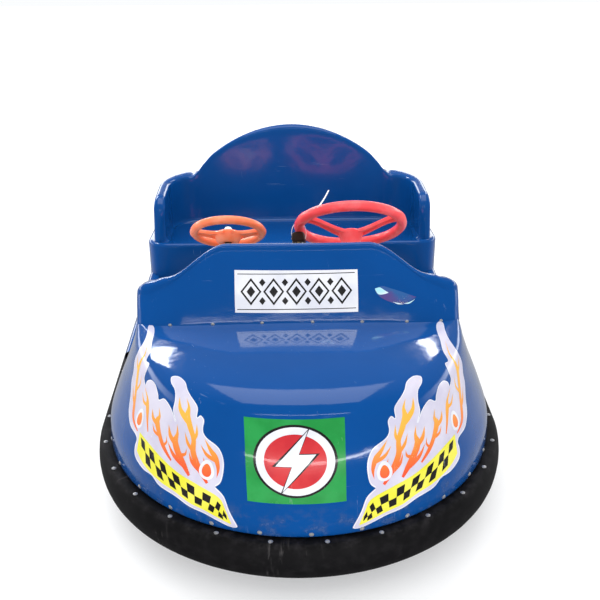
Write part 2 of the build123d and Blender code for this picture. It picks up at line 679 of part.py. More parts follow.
column = along_column(DRIVER_WHEEL, COLUMN_TOP, boss_end - COLUMN_CLEAR, column_r)
column -= along_column(DRIVER_WHEEL, COLUMN_TOP, boss_end, SHAFT_R + GAP)
save("steering_column", column)
save("driver_steering_shaft", along_column(DRIVER_WHEEL, DRIVER_DISH, bevel_drop - SHAFT_FOOT, SHAFT_R))

CHILD_COLUMN_TOP = 55
child_foot = (CHILD_Z - SHELF_Z) / cos(tilt)
child_column = along_column(CHILD_WHEEL, CHILD_COLUMN_TOP, child_foot, column_r)
child_column -= box(ALL_X, ALL_Y, (0, SHELF_TOP))
child_column += along_column(CHILD_WHEEL, CHILD_DISH, CHILD_COLUMN_TOP, SHAFT_R)
save("child_column", child_column)

# ======== steering wheels ========
HUB_THICK = 20
SPOKE = (26, 12)
WHEELS = [
    # name, centre, rim_r, tube_r, dish, hub_r, bore_r, spoke angles from the top
    (
        "driver_steering_wheel",
        DRIVER_WHEEL, DRIVER_RIM_R, DRIVER_TUBE_R, DRIVER_DISH, 34, SHAFT_R,
        (65, -65, 180),
    ),
    (
        "child_steering_wheel",
        CHILD_WHEEL, CHILD_RIM_R, CHILD_TUBE_R, CHILD_DISH, 30, SHAFT_R + GAP,
        (90, -90, 180),
    ),
]
for name, centre, rim_r, tube_r, dish, hub_r, bore_r, angles in WHEELS:
    wheel = Torus(rim_r, tube_r)
    wheel += Pos(0, 0, -dish) * Cylinder(hub_r, HUB_THICK)
    spoke_length = sqrt(rim_r ** 2 + dish ** 2) - tube_r / 2
    slope = Vector(rim_r, 0, dish).get_angle(Vector(1, 0, 0))
    for angle in angles:
        spoke = Pos(spoke_length / 2, 0, 0) * Box(spoke_length, *SPOKE)
        wheel += Rot(0, 0, angle - 90) * Pos(0, 0, -dish) * Rot(0, -slope, 0) * spoke
    wheel -= Pos(0, 0, -dish) * Cylinder(bore_r, 2 * HUB_THICK)
    save(name, Pos(*centre) * Rot(-COLUMN_TILT, 0, 0) * wheel)

CAP_R = 22
CAP_THICK = 8
CAP_ROUND = 6
cap = Pos(0, 0, HUB_THICK / 2 - CHILD_DISH + CAP_THICK / 2) * Cylinder(CAP_R, CAP_THICK)
cap = fillet(cap.edges().filter_by(GeomType.CIRCLE).sort_by(Axis.Z)[-1], CAP_ROUND)
save("child_wheel_cap", Pos(*CHILD_WHEEL) * Rot(-COLUMN_TILT, 0, 0) * cap)

# ======== pedal ========
PEDAL_X = 110
PEDAL = (70, 130, 8)
PEDAL_SLOPE = 38
PEDAL_GAP = 5           # between the front cross member and the pedal's base
BASE_LENGTH = 105
BASE_THICK = 12
base_front = BULKHEAD_Y + RAIL_W + PEDAL_GAP
base_top = FLOOR_TOP + BASE_THICK
pedal_base = box(around(PEDAL_X, PEDAL[0]), (base_front, base_front + BASE_LENGTH), (FLOOR_TOP, base_top))
save("pedal_base", pedal_base)
pedal_rise = PEDAL[1] / 2 * sin(radians(PEDAL_SLOPE))
pedal_middle = (PEDAL_X, base_front + BASE_LENGTH / 2, base_top + pedal_rise)
pedal = Pos(*pedal_middle) * Rot(PEDAL_SLOPE, 0, 0) * Box(*PEDAL)
save("accelerator_pedal", pedal - box(ALL_X, ALL_Y, (0, base_top)))
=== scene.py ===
from math import asin, cos, hypot, pi, radians, sin, sqrt

import bmesh
import bpy
from mathutils import Matrix, Vector
from mathutils.geometry import delaunay_2d_cdt


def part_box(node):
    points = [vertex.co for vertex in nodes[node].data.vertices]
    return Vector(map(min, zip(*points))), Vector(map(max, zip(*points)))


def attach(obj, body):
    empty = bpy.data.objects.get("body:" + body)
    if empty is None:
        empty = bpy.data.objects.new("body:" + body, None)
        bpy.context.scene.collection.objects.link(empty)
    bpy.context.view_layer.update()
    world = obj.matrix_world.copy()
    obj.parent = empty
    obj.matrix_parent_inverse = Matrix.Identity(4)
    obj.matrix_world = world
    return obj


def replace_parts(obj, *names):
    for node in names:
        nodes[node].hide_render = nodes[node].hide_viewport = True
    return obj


# A battery bumper car for a driver and a child, put together from its frame outwards.
# Metres. +Z is up, the nose faces -Y and the driver sits on the +X side.
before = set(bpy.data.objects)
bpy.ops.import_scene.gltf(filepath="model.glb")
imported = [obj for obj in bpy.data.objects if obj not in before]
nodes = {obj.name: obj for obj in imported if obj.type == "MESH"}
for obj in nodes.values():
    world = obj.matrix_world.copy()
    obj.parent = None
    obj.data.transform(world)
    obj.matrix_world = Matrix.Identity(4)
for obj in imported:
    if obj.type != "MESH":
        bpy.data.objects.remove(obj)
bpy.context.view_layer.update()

# ======== steel frame ========
# Square tube and flat bar, welded up and sprayed satin black. The hoop round it carries the
# rubber, its arms carry the front wheel's swivel plate, and its shelf both steering columns.


class Tone:
    """One value in a finish's shader nodes. It adds and multiplies like a number."""

    def __init__(self, material, socket):
        self.material = material
        self.socket = socket

    def node(self, kind, settings=None, values=None, out=0):
        """Adds a node: its settings come first, then the values or links of its sockets."""
        added = self.material.node_tree.nodes.new(kind)
        for name, value in (settings or {}).items():
            setattr(added, name, value)
        for name, value in (values or {}).items():
            if isinstance(name, str):
                socket = next(s for s in added.inputs if s.enabled and s.name == name)
            else:
                socket = added.inputs[name]
            if isinstance(value, Tone):
                self.material.node_tree.links.new(value.socket, socket)
            elif socket.type == "RGBA":
                socket.default_value = (*value, 1.0)
            else:
                socket.default_value = value
        shown = [s for s in added.outputs if s.enabled]
        return Tone(self.material, shown[out]) if shown else None

    def maths(self, operation, *others):
        """This value worked together with others."""
        return self.node("ShaderNodeMath", {"operation": operation}, dict(enumerate((self, *others))))

    def __add__(self, other):
        return self.maths("ADD", other)

    __radd__ = __add__

    def __sub__(self, other):
        return self.maths("SUBTRACT", other)

    def __rsub__(self, other):
        return self.maths("MULTIPLY_ADD", -1.0, other)

    def __mul__(self, other):
        return self.maths("MULTIPLY", other)

    __rmul__ = __mul__

    def mask(self, low, high):
        """0 below low and 1 above high, or the other way round if low is the larger."""
        limits = {"Value": self, "From Min": low, "From Max": high}
        return self.node("ShaderNodeMapRange", {"interpolation_type": "SMOOTHSTEP"}, limits)

    def blend(self, low, high):
        """A colour that goes from low at 0 to high at 1."""
        return self.node("ShaderNodeMix", {"data_type": "RGBA"}, {"Factor": self, "A": low, "B": high})

    def stretched(self, x, y, z):
        """The place on the piece with its three axes scaled."""
        return self.node("ShaderNodeVectorMath", {"operation": "MULTIPLY"}, {0: self, 1: (x, y, z)})

    def noise(self, scale, detail=2.0, rough=0.5):
        """Soft random patches, about 1/scale metres across."""
        sizes = {"Scale": scale, "Detail": detail, "Roughness": rough}
        return self.node("ShaderNodeTexNoise", None, {"Vector": self, **sizes})

    def bumps(self, distance, strength=1.0):
        """Small relief that is as high as this value, times distance."""
        values = {"Height": self, "Distance": distance, "Strength": strength}
        return self.node("ShaderNodeBump", None, values)

    def axes(self):
        """The X, Y and Z of this place."""
        return [self.node("ShaderNodeSeparateXYZ", None, {0: self}, out=i) for i in range(3)]


def finish(name):
    """A new finish, as the place on its piece from which its pattern is worked out."""
    material = bpy.data.materials.new(name)
    material.use_nodes = True
    material.node_tree.nodes.clear()
    start = material.node_tree.nodes.new("ShaderNodeTexCoord")
    return Tone(material, start.outputs["Object"])


def surface(place, values):
    """Ends a finish in its surface shader."""
    shader = place.node("ShaderNodeBsdfPrincipled", None, values)
    place.node("ShaderNodeOutputMaterial", None, {"Surface": shader})
    return place.material


def satin_paint(name, paint, dirt, rust):
    """Sprayed satin paint over steel, with road dirt in patches and a few chips."""
    place = finish(name)
    dirty = place.noise(7.0, 6.0, 0.6).mask(0.42, 0.68) * 0.75
    chipped = place.noise(85.0, 4.0).mask(0.68, 0.71)
    tint = dirty.blend(paint, dirt)
    tint = chipped.blend(tint, rust)
    peel = place.noise(420.0) * 0.4 - chipped
    return surface(place, {
        "Base Color": tint,
        "Roughness": dirty * 0.3 + 0.38,
        "Normal": peel.bumps(0.0002, 0.6),
    })


def dress(material, *names):
    """Gives CAD nodes whose shape is right their finish."""
    for name in names:
        mesh = nodes[name].data
        mesh.materials.clear()
        mesh.materials.append(material)


frame_paint = satin_paint("frame_paint", (0.016, 0.016, 0.018), (0.075, 0.066, 0.055), (0.13, 0.05, 0.022))
dress(
    frame_paint,
    "chassis_frame", "bumper_hoop", "bulkhead", "swivel_plate", "column_shelf",
    "rear_axle_brackets", "battery_tray", "drive_fork",
)


def piece(name, points, faces, material, body="root", slot=None):
    """A mesh of this object's own, smooth-shaded and riding on its body."""
    mesh = bpy.data.meshes.new(name)
    mesh.from_pydata([tuple(p) for p in points], [], faces)
    shape = bmesh.new()
    shape.from_mesh(mesh)
    bmesh.ops.remove_doubles(shape, verts=shape.verts, dist=1e-6)
    bmesh.ops.recalc_face_normals(shape, faces=shape.faces)
    shape.to_mesh(mesh)
    shape.free()
    mesh.shade_smooth()
    mesh.set_sharp_from_angle(angle=radians(35))
    mesh.materials.append(material)
    made = bpy.data.objects.new(name, mesh)
    bpy.context.scene.collection.objects.link(made)
    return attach(made, body)


def skin(rows, closed=False, looped=False):
    """Points and faces of a surface through rows of points: closed joins each row's ends."""
    wide = len(rows[0])
    points = [p for row in rows for p in row]
    faces = []
    for i in range(len(rows) if looped else len(rows) - 1):
        for j in range(wide if closed else wide - 1):
            a, b = i * wide + j, i * wide + (j + 1) % wide
            step = wide * ((i + 1) % len(rows)) - i * wide
            faces.append((a, b, b + step, a + step))
    return points, faces


def solid(rows, footed=False):
    """A closed skin through rows with its last row filled in, and its first too if footed."""
    points, faces = skin(rows, closed=True)
    wide = len(rows[0])
    faces.append(tuple(range(len(points) - wide, len(points))))
    if footed:
        faces.append(tuple(range(wide)))
    return points, faces


def full_turn(count, start=0.0):
    """Angles at an even pitch once round."""
    return [start + 2 * pi * i / count for i in range(count)]


def lathe(profile, place, sides=24):
    """Rows turned from a profile of (radius, height) about the Z axis of a place."""
    rows = []
    for r, height in profile:
        rows.append([place @ Vector((r * cos(a), r * sin(a), height)) for a in full_turn(sides)])
    return skin(rows, closed=True)


def gather(parts):
    """Joins several lists of points and faces into one."""
    points, faces = [], []
    for some_points, some_faces in parts:
        faces += [tuple(i + len(points) for i in face) for face in some_faces]
        points += some_points
    return points, faces


def facing(point, direction):
    """A place at a point whose Z axis points along a direction."""
    turn = Vector(direction).to_track_quat("Z", "Y").to_matrix().to_4x4()
    return Matrix.Translation(point) @ turn


def hex_bolt(place, across, height):
    """A hexagon head with a chamfered top on a round washer."""
    r = across / 2
    thick = 0.0016
    washer = [(0.0, 0.0), (r * 1.45, 0.0), (r * 1.5, thick / 2), (r * 1.4, thick), (0.0, thick)]
    head = [(r, thick), (r, height - 0.001), (r * 0.86, height), (0.0, height)]
    return gather([lathe(washer, place, 20), lathe(head, place, 6)])


def bright_steel(name, tint, rough):
    """Turned and zinc-plated steel with fine brushing and a few dull patches."""
    place = finish(name)
    brushed = place.stretched(1.0, 1.0, 12.0).noise(160.0, 3.0)
    dull = place.noise(30.0, 4.0).mask(0.5, 0.7)
    return surface(place, {
        "Base Color": dull.blend(tint, tuple(c * 0.55 for c in tint)),
        "Metallic": 0.75 - dull * 0.2,
        "Roughness": brushed * 0.14 + dull * 0.2 + rough,
        "Normal": brushed.bumps(0.00008, 0.5),
    })


zinc = bright_steel("zinc", (0.74, 0.74, 0.76), 0.3)


def plated(name, parts, body="root"):
    """Fasteners and other small parts of plated steel, as one piece."""
    return piece(name, *gather(parts), zinc, body, "bright_steel")


plate_low, plate_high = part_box("swivel_plate")
bearing_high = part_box("swivel_bearing")[1]
swivel_x = (plate_low.x + plate_high.x) / 2
swivel_y = (plate_low.y + plate_high.y) / 2
UP = (0, 0, 1)
BEARING_BOLTS_R = 0.041
plate_bolts = []
for side in (-1, 1):
    for end in (-1, 1):
        spot = (side * (plate_high.x - 0.02), swivel_y + end * 0.038, plate_high.z)
        plate_bolts.append(hex_bolt(facing(spot, UP), 0.017, 0.009))
for a in full_turn(6, pi / 6):
    spot = (swivel_x + BEARING_BOLTS_R * cos(a), swivel_y + BEARING_BOLTS_R * sin(a), bearing_high.z)
    plate_bolts.append(hex_bolt(facing(spot, UP), 0.008, 0.005))
plated("swivel_plate_bolts", plate_bolts)

# ======== floor ========
# Aluminium chequer sheet over the rails, with raised bars in alternate directions. They stop
# short of the pedal's base and of the two column feet.


def chequer_sheet():
    """Rolled aluminium, dull between scuffs and dirty in patches."""
    place = finish("floor_sheet")
    scuffed = place.stretched(3.0, 1.0, 1.0).noise(60.0, 5.0, 0.7).mask(0.45, 0.62)
    dirty = place.noise(5.0, 5.0).mask(0.45, 0.7)
    tint = scuffed.blend((0.4, 0.41, 0.42), (0.62, 0.62, 0.63))
    return surface(place, {
        "Base Color": (dirty * 0.6).blend(tint, (0.12, 0.105, 0.09)),
        "Metallic": 0.85 - dirty * 0.6,
        "Roughness": dirty * 0.35 + 0.32,
        "Normal": scuffed.bumps(0.0001, 0.5),
    })


floor_sheet = chequer_sheet()
dress(floor_sheet, "floor_pan")
floor_low, floor_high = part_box("floor_pan")
BAR_PITCH = 0.034
BARS_WIDE = 0.94
BAR_HIGH = 0.0013
# A bar's outline, in millimetres.
BAR_OUTLINE = [(-13.0, 0.0), (-8.0, 2.6), (8.0, 2.6), (13.0, 0.0), (8.0, -2.6), (-8.0, -2.6)]
bars = []
bar_rows = int((floor_high.y - floor_low.y - 0.1) / BAR_PITCH)
bar_columns = int(BARS_WIDE / BAR_PITCH)
for row in range(bar_rows):
    for column in range(bar_columns):
        x = (column - (bar_columns - 1) / 2) * BAR_PITCH
        y = floor_low.y + 0.055 + row * BAR_PITCH
        under_pedal = 0.05 < x < 0.17 and y < floor_low.y + 0.18
        under_post = abs(abs(x) - 0.25) < 0.045 and y < floor_low.y + 0.065
        if under_pedal or under_post:
            continue
        slant = radians(45 if (row + column) % 2 else -45)
        place = Matrix.Translation((x, y, floor_high.z)) @ Matrix.Rotation(slant, 4, "Z")
        low = [place @ Vector((u / 1000, v / 1000, 0.0)) for u, v in BAR_OUTLINE]
        high = [place @ Vector((u * 0.0008, v * 0.0005, BAR_HIGH)) for u, v in BAR_OUTLINE]
        bars.append(solid([low, high]))
piece("floor_bars", *gather(bars), floor_sheet, slot="floor_sheet")

# ======== drive unit ========
# The fork, its driven wheel, the gearbox and the motor swivel together in the flanged bearing.
# The tyre is solid rubber on a cast hub, and a bored chain wheel on the stem steers them all.


def tyre_rubber():
    """Solid tyre rubber, greyed by floor dust on the tread."""
    place = finish("tyre_rubber")
    dusty = place.noise(24.0, 5.0, 0.65).mask(0.4, 0.75)
    grain = place.noise(700.0)
    return surface(place, {
        "Base Color": (dusty * 0.6).blend((0.021, 0.02, 0.02), (0.085, 0.08, 0.075)),
        "Roughness": dusty * 0.2 + 0.68,
        "Normal": grain.bumps(0.0002, 0.5),
    })


def cast_metal(name, tint, rough):
    """Sand-cast or sprayed metal with a pebbled skin and oily dirt."""
    place = finish(name)
    pebbled = place.noise(260.0, 3.0, 0.6)
    oily = place.noise(14.0, 5.0).mask(0.48, 0.66)
    return surface(place, {
        "Base Color": (oily * 0.7).blend(tint, tuple(c * 0.35 for c in tint)),
        "Metallic": 0.65,
        "Roughness": pebbled * 0.18 - oily * 0.12 + rough,
        "Normal": pebbled.bumps(0.0005, 0.5),
    })


tyre_black = tyre_rubber()
cast_grey = cast_metal("cast_housing", (0.4, 0.41, 0.43), 0.45)
motor_paint = cast_metal("motor_case", (0.05, 0.055, 0.06), 0.4)
hub_silver = cast_metal("wheel_hub", (0.62, 0.62, 0.63), 0.35)
dress(cast_grey, "swivel_bearing", "bevel_box", "drive_gearbox")
dress(zinc, "front_axle", "rear_axle", "driver_steering_shaft")
HUB_NUTS_R = 0.034
RIM_R = 0.0553          # where a tyre's wall starts on its hub
GROOVE_HALF, GROOVE_DEEP = 0.0025, 0.003


def wheel(tyre_node, hub_node, body, grooves):
    """A solid tyre with grooves round its tread and ribs on its walls, and its hub's nuts."""
    low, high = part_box(tyre_node)
    centre, radius, half = (low + high) / 2, (high.z - low.z) / 2, (high.x - low.x) / 2
    place = facing(centre, (1, 0, 0))
    # one wall, by radius and how far it lies inside the tyre's full width
    wall = [(RIM_R, 0.003), (0.062, 0.001), (0.066, 0.0), (radius - 0.018, 0.0), (radius - 0.016, 0.0012)]
    wall += [(radius - 0.011, 0.0), (radius - 0.003, 0.003), (radius - 0.0006, 0.007)]
    profile = [(r, inset - half) for r, inset in wall]
    step = (2 * half - 0.02) / (grooves + 1)
    for i in range(grooves):
        middle = -half + 0.01 + step * (i + 1)
        for away, deep in ((-1.0, 0.0), (-0.6, GROOVE_DEEP), (0.6, GROOVE_DEEP), (1.0, 0.0)):
            profile.append((radius - deep, middle + away * GROOVE_HALF))
    profile += [(r, half - inset) for r, inset in reversed(wall)]
    tyre = piece(tyre_node + "_tread", *lathe(profile, place, 72), tyre_black, body, "tyre_rubber")
    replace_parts(tyre, tyre_node)
    dress(hub_silver, hub_node)
    nuts = []
    for side in (-1, 1):
        for a in full_turn(5):
            spot = centre + Vector((side * 0.006, HUB_NUTS_R * cos(a), HUB_NUTS_R * sin(a)))
            nuts.append(hex_bolt(facing(spot, (side, 0, 0)), 0.01, 0.007))
    plated(hub_node + "_nuts", nuts, body)


wheel("front_tyre", "front_hub", "front_wheel", 3)

motor_low, motor_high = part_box("drive_motor")
motor_r = (motor_high.z - motor_low.z) / 2
motor_length = motor_high.x - motor_low.x
motor_z = (motor_low.z + motor_high.z) / 2
motor_place = facing((motor_low.x, swivel_y, motor_z), (1, 0, 0))
rib_foot = motor_r - 0.004
case = [(0.0, 0.0), (motor_r * 0.9, 0.0), (motor_r * 0.9, 0.012)]
for i in range(14):
    start = 0.014 + i * 0.0075
    case += [(motor_r, start), (motor_r, start + 0.0035)]
    case += [(rib_foot, start + 0.0045), (rib_foot, start + 0.0065)]
case += [(motor_r, 0.122), (motor_r, motor_length - 0.012), (motor_r - 0.008, motor_length - 0.002)]
case += [(0.018, motor_length - 0.002), (0.016, motor_length), (0.0, motor_length)]
motor = piece("drive_motor_case", *lathe(case, motor_place, 48), motor_paint, "drive_fork", "motor_case")
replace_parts(motor, "drive_motor")
box_low, box_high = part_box("drive_gearbox")
cover_bolts = []
for a in full_turn(8, pi / 8):
    spot_y = swivel_y + 0.049 * cos(a)
    spot_z = (box_low.z + box_high.z) / 2 + 0.053 * sin(a)
    if hypot(spot_y - swivel_y, spot_z - motor_z) > motor_r + 0.006:
        cover_bolts.append(hex_bolt(facing((box_high.x, spot_y, spot_z), (1, 0, 0)), 0.009, 0.006))
plated("gearbox_bolts", cover_bolts, "drive_fork")

TEETH = 22
DISC_HALF = 0.0025      # half the thickness of a chain wheel's disc
DISC_BOLTS_R = 0.033


def chain_wheel(name, node, body, x, y, boss):
    """A toothed chain wheel with a boss, and whatever shaft it has."""
    low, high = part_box(node)
    tip = (high.x - low.x) / 2
    middle = low.z + 0.008
    rim = []
    for i, a in enumerate(full_turn(TEETH * 4)):
        r = (tip - 0.0045, tip - 0.0015, tip, tip - 0.0015)[i % 4]
        rim.append((r * cos(a), r * sin(a)))
    half_disc = [(0.0, DISC_HALF), (0.8, DISC_HALF), (1.0, 0.0016)]
    rows = []
    for scale, height in [(s, -h) for s, h in half_disc] + half_disc[::-1]:
        rows.append([Vector((x + u * scale, y + v * scale, middle + height)) for u, v in rim])
    parts = [skin(rows, closed=True), lathe(boss, Matrix.Translation((x, y, 0.0)), 32)]
    for a in full_turn(4, pi / 4):
        spot = (x + DISC_BOLTS_R * cos(a), y + DISC_BOLTS_R * sin(a), middle + DISC_HALF)
        parts.append(hex_bolt(facing(spot, UP), 0.007, 0.005))
    made = plated(name, parts, body)
    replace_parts(made, node)
    return middle


def boss_profile(bore, r, foot, top):
    """The profile of a boss with chamfered edges."""
    return [(bore, foot), (r - 0.001, foot), (r, foot + 0.001), (r, top - 0.001), (r - 0.001, top)]


boss_low, boss_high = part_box("fork_sprocket")
fork_boss = boss_profile(0.0206, 0.029, boss_low.z, boss_high.z) + [(0.0206, boss_high.z)]
chain_z = chain_wheel("fork_chain_wheel", "fork_sprocket", "drive_fork", swivel_x, swivel_y, fork_boss)
post_low, post_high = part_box("output_sprocket")
output_x, output_y = (post_low.x + post_high.x) / 2, (post_low.y + post_high.y) / 2
post = boss_profile(0.0, 0.019, post_low.z, post_low.z + 0.016)
post += [(0.01, post_low.z + 0.016), (0.01, post_high.z), (0.0, post_high.z)]
chain_wheel("output_chain_wheel", "output_sprocket", "steering_output", output_x, output_y, post)

# ======== steering chain ========
# A roller chain runs round both chain wheels: pairs of side plates on pins and rollers.
LINK_COUNT = 96
PLATE_THICK = 0.0009
# One corner of a link's waisted side plate, as shares of its half length and half height.
PLATE_CORNER = ((-1.0, -0.6), (-0.75, -1.0), (-0.3, -0.72))
chain_r = 0.0485
chain_from = Vector((swivel_x, swivel_y))
chain_to = Vector((output_x, output_y))
chain_way = (chain_to - chain_from).normalized()
chain_side = Vector((-chain_way.y, chain_way.x))
chain_run = (chain_to - chain_from).length
chain_loop = 2 * chain_run + 2 * pi * chain_r


def on_chain(distance):
    """A point on the chain's line, a distance along it, and the line's direction there."""
    distance %= chain_loop
    half_turn = pi * chain_r
    if distance < chain_run:
        return chain_from + chain_side * chain_r + chain_way * distance, chain_way
    distance -= chain_run
    if distance < half_turn:
        a = distance / chain_r
        out = chain_side * cos(a) + chain_way * sin(a)
        return chain_to + out * chain_r, chain_way * cos(a) - chain_side * sin(a)
    distance -= half_turn
    if distance < chain_run:
        return chain_to - chain_side * chain_r - chain_way * distance, -chain_way
    a = (distance - chain_run) / chain_r
    out = -chain_side * cos(a) - chain_way * sin(a)
    return chain_from + out * chain_r, -chain_way * cos(a) + chain_side * sin(a)


links = []
pitch = chain_loop / LINK_COUNT
lower = [(u, v) for u, v in PLATE_CORNER] + [(-u, v) for u, v in reversed(PLATE_CORNER)]
plate_outline = lower + [(-u, -v) for u, v in lower]
roller = [(0.0, -0.0036), (0.0024, -0.0034), (0.0024, 0.0034), (0.0, 0.0036)]
for i in range(LINK_COUNT):
    start, way = on_chain(i * pitch)
    end = on_chain((i + 1) * pitch)[0]
    links.append(lathe(roller, Matrix.Translation((start.x, start.y, chain_z)), 8))
    middle, along = (start + end) / 2, (end - start).normalized()
    across = Vector((-along.y, along.x))
    shape = [middle + along * u * (pitch / 2 + 0.0028) + across * v * 0.0034 for u, v in plate_outline]
    near = 0.0022 if i % 2 else 0.0031
    for side in (-1, 1):
        heights = (chain_z + side * near, chain_z + side * (near + PLATE_THICK))
        links.append(solid([[(p.x, p.y, z) for p in shape] for z in heights], footed=True))
chain = plated("steering_chain_links", links)
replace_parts(chain, "steering_chain")

# ======== rear axle and wheels ========
# A plain fixed axle in two brackets under the rails, with a free wheel on each end.
for side in ("left", "right"):
    wheel(f"rear_tyre_{side}", f"rear_hub_{side}", f"rear_wheel_{side}", 2)
axle_low, axle_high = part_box("rear_axle")
axle_y, axle_z = (axle_low.y + axle_high.y) / 2, (axle_low.z + axle_high.z) / 2
clips = []
for side in (-1, 1):
    place = facing((side * (axle_high.x - 0.006), axle_y, axle_z), (side, 0, 0))
    half_clip = [(0.0101, -0.002), (0.0135, -0.002), (0.014, -0.001)]
    clips.append(lathe(half_clip + [(r, -h) for r, h in reversed(half_clip)], place))
plated("axle_clips", clips)

# ======== batteries and controller ========
# Two sealed batteries stand crosswise on the tray under the bench, with the finned controller
# in front of them. They have moulded lids with recessed caps, and screw terminals.


def moulded_plastic(name, tint, rough):
    """Injection-moulded plastic with a fine grain and a little handling dirt."""
    place = finish(name)
    grain = place.noise(900.0, 2.0)
    worn = place.noise(18.0, 4.0).mask(0.5, 0.7)
    return surface(place, {
        "Base Color": (worn * 0.35).blend(tint, tuple(0.7 * c + 0.03 for c in tint)),
        "Roughness": worn * 0.15 + rough,
        "Normal": grain.bumps(0.0002, 0.4),
    })


battery_grey = moulded_plastic("battery_case", (0.055, 0.055, 0.06), 0.5)
dress(battery_grey, "battery_left", "battery_right")
dress(cast_grey, "control_box")
LID_HIGH = 0.012
FIN_COUNT = 15


def oblong(x0, y0, x1, y1, z):
    """The corners of a level oblong between two of its opposite ones."""
    return [(x0, y0, z), (x1, y0, z), (x1, y1, z), (x0, y1, z)]


lids, terminals = [], []
for side in ("left", "right"):
    low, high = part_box(f"battery_{side}")
    for inset, thick in ((0.004, LID_HIGH), (0.03, 0.017)):
        rows = []
        for shrink, height in ((0.0, 0.0), (0.0, thick - 0.002), (0.002, thick), (0.03, thick)):
            d = inset + shrink
            rows.append(oblong(low.x + d, low.y + d, high.x - d, high.y - d, high.z + height))
        lids.append(solid(rows))
    for x in (low.x + 0.04, high.x - 0.04):
        terminals.append(hex_bolt(facing((x, low.y + 0.02, high.z + LID_HIGH), UP), 0.014, 0.009))
piece("battery_lids", *gather(lids), battery_grey, slot="battery_case")
plated("battery_terminals", terminals)
control_low, control_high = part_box("control_box")
fins = []
for i in range(FIN_COUNT):
    x = control_low.x + 0.01 + i * (control_high.x - control_low.x - 0.02) / (FIN_COUNT - 1)
    rows = []
    for half, height in ((0.002, 0.0), (0.0015, 0.011), (0.001, 0.012)):
        y, z = control_low.y, control_high.z + height
        rows.append(oblong(x - half, y + 0.004, x + half, y + 0.056, z))
    fins.append(solid(rows))
piece("control_fins", *gather(fins), cast_grey, slot="cast_housing")

# ======== rubber bumper ========
# One moulded rubber section is wrapped round the hoop and bolted down through its top edge.
# It is matt black, dusty, and scuffed across by other cars.
NOSE_CENTRE = -0.39     # middle of the half-round nose
TAIL_ROUND = 0.25       # radius of the tail's corners
rubber_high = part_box("rubber_bumper")[1]
outer_half = rubber_high.x
tail_end = rubber_high.y


def car_line():
    """Points and outward directions round the bumper's outermost line, from the nose to +X."""
    line = []
    for i in range(60):
        a = pi / 2 * i / 60
        way = Vector((sin(a), -cos(a), 0.0))
        line.append((Vector((0.0, NOSE_CENTRE, 0.0)) + way * outer_half, way))
    side_end = tail_end - TAIL_ROUND
    for i in range(50):
        y = NOSE_CENTRE + (side_end - NOSE_CENTRE) * i / 50
        line.append((Vector((outer_half, y, 0.0)), Vector((1.0, 0.0, 0.0))))
    for i in range(24):
        a = pi / 2 * i / 24
        way = Vector((cos(a), sin(a), 0.0))
        line.append((Vector((outer_half - TAIL_ROUND, side_end, 0.0)) + way * TAIL_ROUND, way))
    for i in range(19):
        x = (outer_half - TAIL_ROUND) * (1 - i / 18)
        line.append((Vector((x, tail_end, 0.0)), Vector((0.0, 1.0, 0.0))))
    over = Vector((-1.0, 1.0, 1.0))
    return line + [(spot * over, way * over) for spot, way in reversed(line[1:-1])]


def scuffed_rubber():
    """Matt black rubber with dust on top and pale marks that run across it."""
    place = finish("bumper_rubber")
    x, y, z = place.axes()
    round_nose = x.maths("ARCTAN2", -1.0 * y + NOSE_CENTRE) * 0.57
    along = y.mask(NOSE_CENTRE - 0.01, NOSE_CENTRE + 0.01)
    distance = along * (y - NOSE_CENTRE) + (1 - along) * round_nose
    across = place.node("ShaderNodeCombineXYZ", None, {"X": distance * 55.0, "Y": z * 9.0, "Z": x * 2.0})
    marks = across.noise(1.0, 4.0, 0.62).mask(0.57, 0.72)
    patches = place.noise(5.0, 3.0).mask(0.5, 0.66)
    dust = place.noise(32.0, 6.0, 0.7).mask(0.42, 0.75)
    top = z.mask(0.16, 0.176)
    scuffs = marks * patches
    tint = (dust * (top * 0.5 + 0.25)).blend((0.0045, 0.004, 0.0052), (0.032, 0.028, 0.032))
    grain = place.noise(520.0, 3.0, 0.6)
    return surface(place, {
        "Base Color": (scuffs * 0.55).blend(tint, (0.17, 0.155, 0.155)),
        "Roughness": scuffs * 0.15 + dust * 0.08 + 0.66,
        "Specular IOR Level": 0.3,
        "Normal": (grain * 0.7 + scuffs).bumps(0.0004, 0.6),
    })


bumper_black = scuffed_rubber()
RUBBER_SECTION = [
    # inset, z
    (0.0449, 0.0680), (0.0430, 0.0660), (0.0260, 0.0665), (0.0180, 0.0700), (0.0120, 0.0765),
    (0.0072, 0.0850), (0.0036, 0.0960), (0.0013, 0.1100), (0.0003, 0.1240), (0.0010, 0.1380),
    (0.0028, 0.1520), (0.0052, 0.1630), (0.0086, 0.1705), (0.0132, 0.1750), (0.0180, 0.1765),
    (0.0420, 0.1765), (0.0449, 0.1745),
]
RUBBER_LEVEL = 0.1765   # its flat top
around = car_line()
rows = []
for inset, z in RUBBER_SECTION:
    rows.append([spot - way * inset + Vector((0.0, 0.0, z)) for spot, way in around])
ring = skin(rows, closed=True, looped=True)
bumper = piece("bumper_rubber_ring", *ring, bumper_black, slot="bumper_rubber")
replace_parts(bumper, "rubber_bumper")


def stations(inset, start, pitch):
    """Places at an even pitch round the car, an inset in from the bumper's outermost line."""
    path = [spot - way * inset for spot, way in around]
    lengths = [(path[(i + 1) % len(path)] - p).length for i, p in enumerate(path)]
    total = sum(lengths)
    count = round(total / pitch)
    found, i, passed = [], 0, 0.0
    for k in range(count):
        goal = (start + k * total / count) % total
        if goal < passed:
            i, passed = 0, 0.0
        while passed + lengths[i] < goal:
            passed += lengths[i]
            i += 1
        share = (goal - passed) / lengths[i]
        spot = path[i].lerp(path[(i + 1) % len(path)], share)
        found.append((spot, around[i][1].lerp(around[(i + 1) % len(around)][1], share).normalized()))
    return found


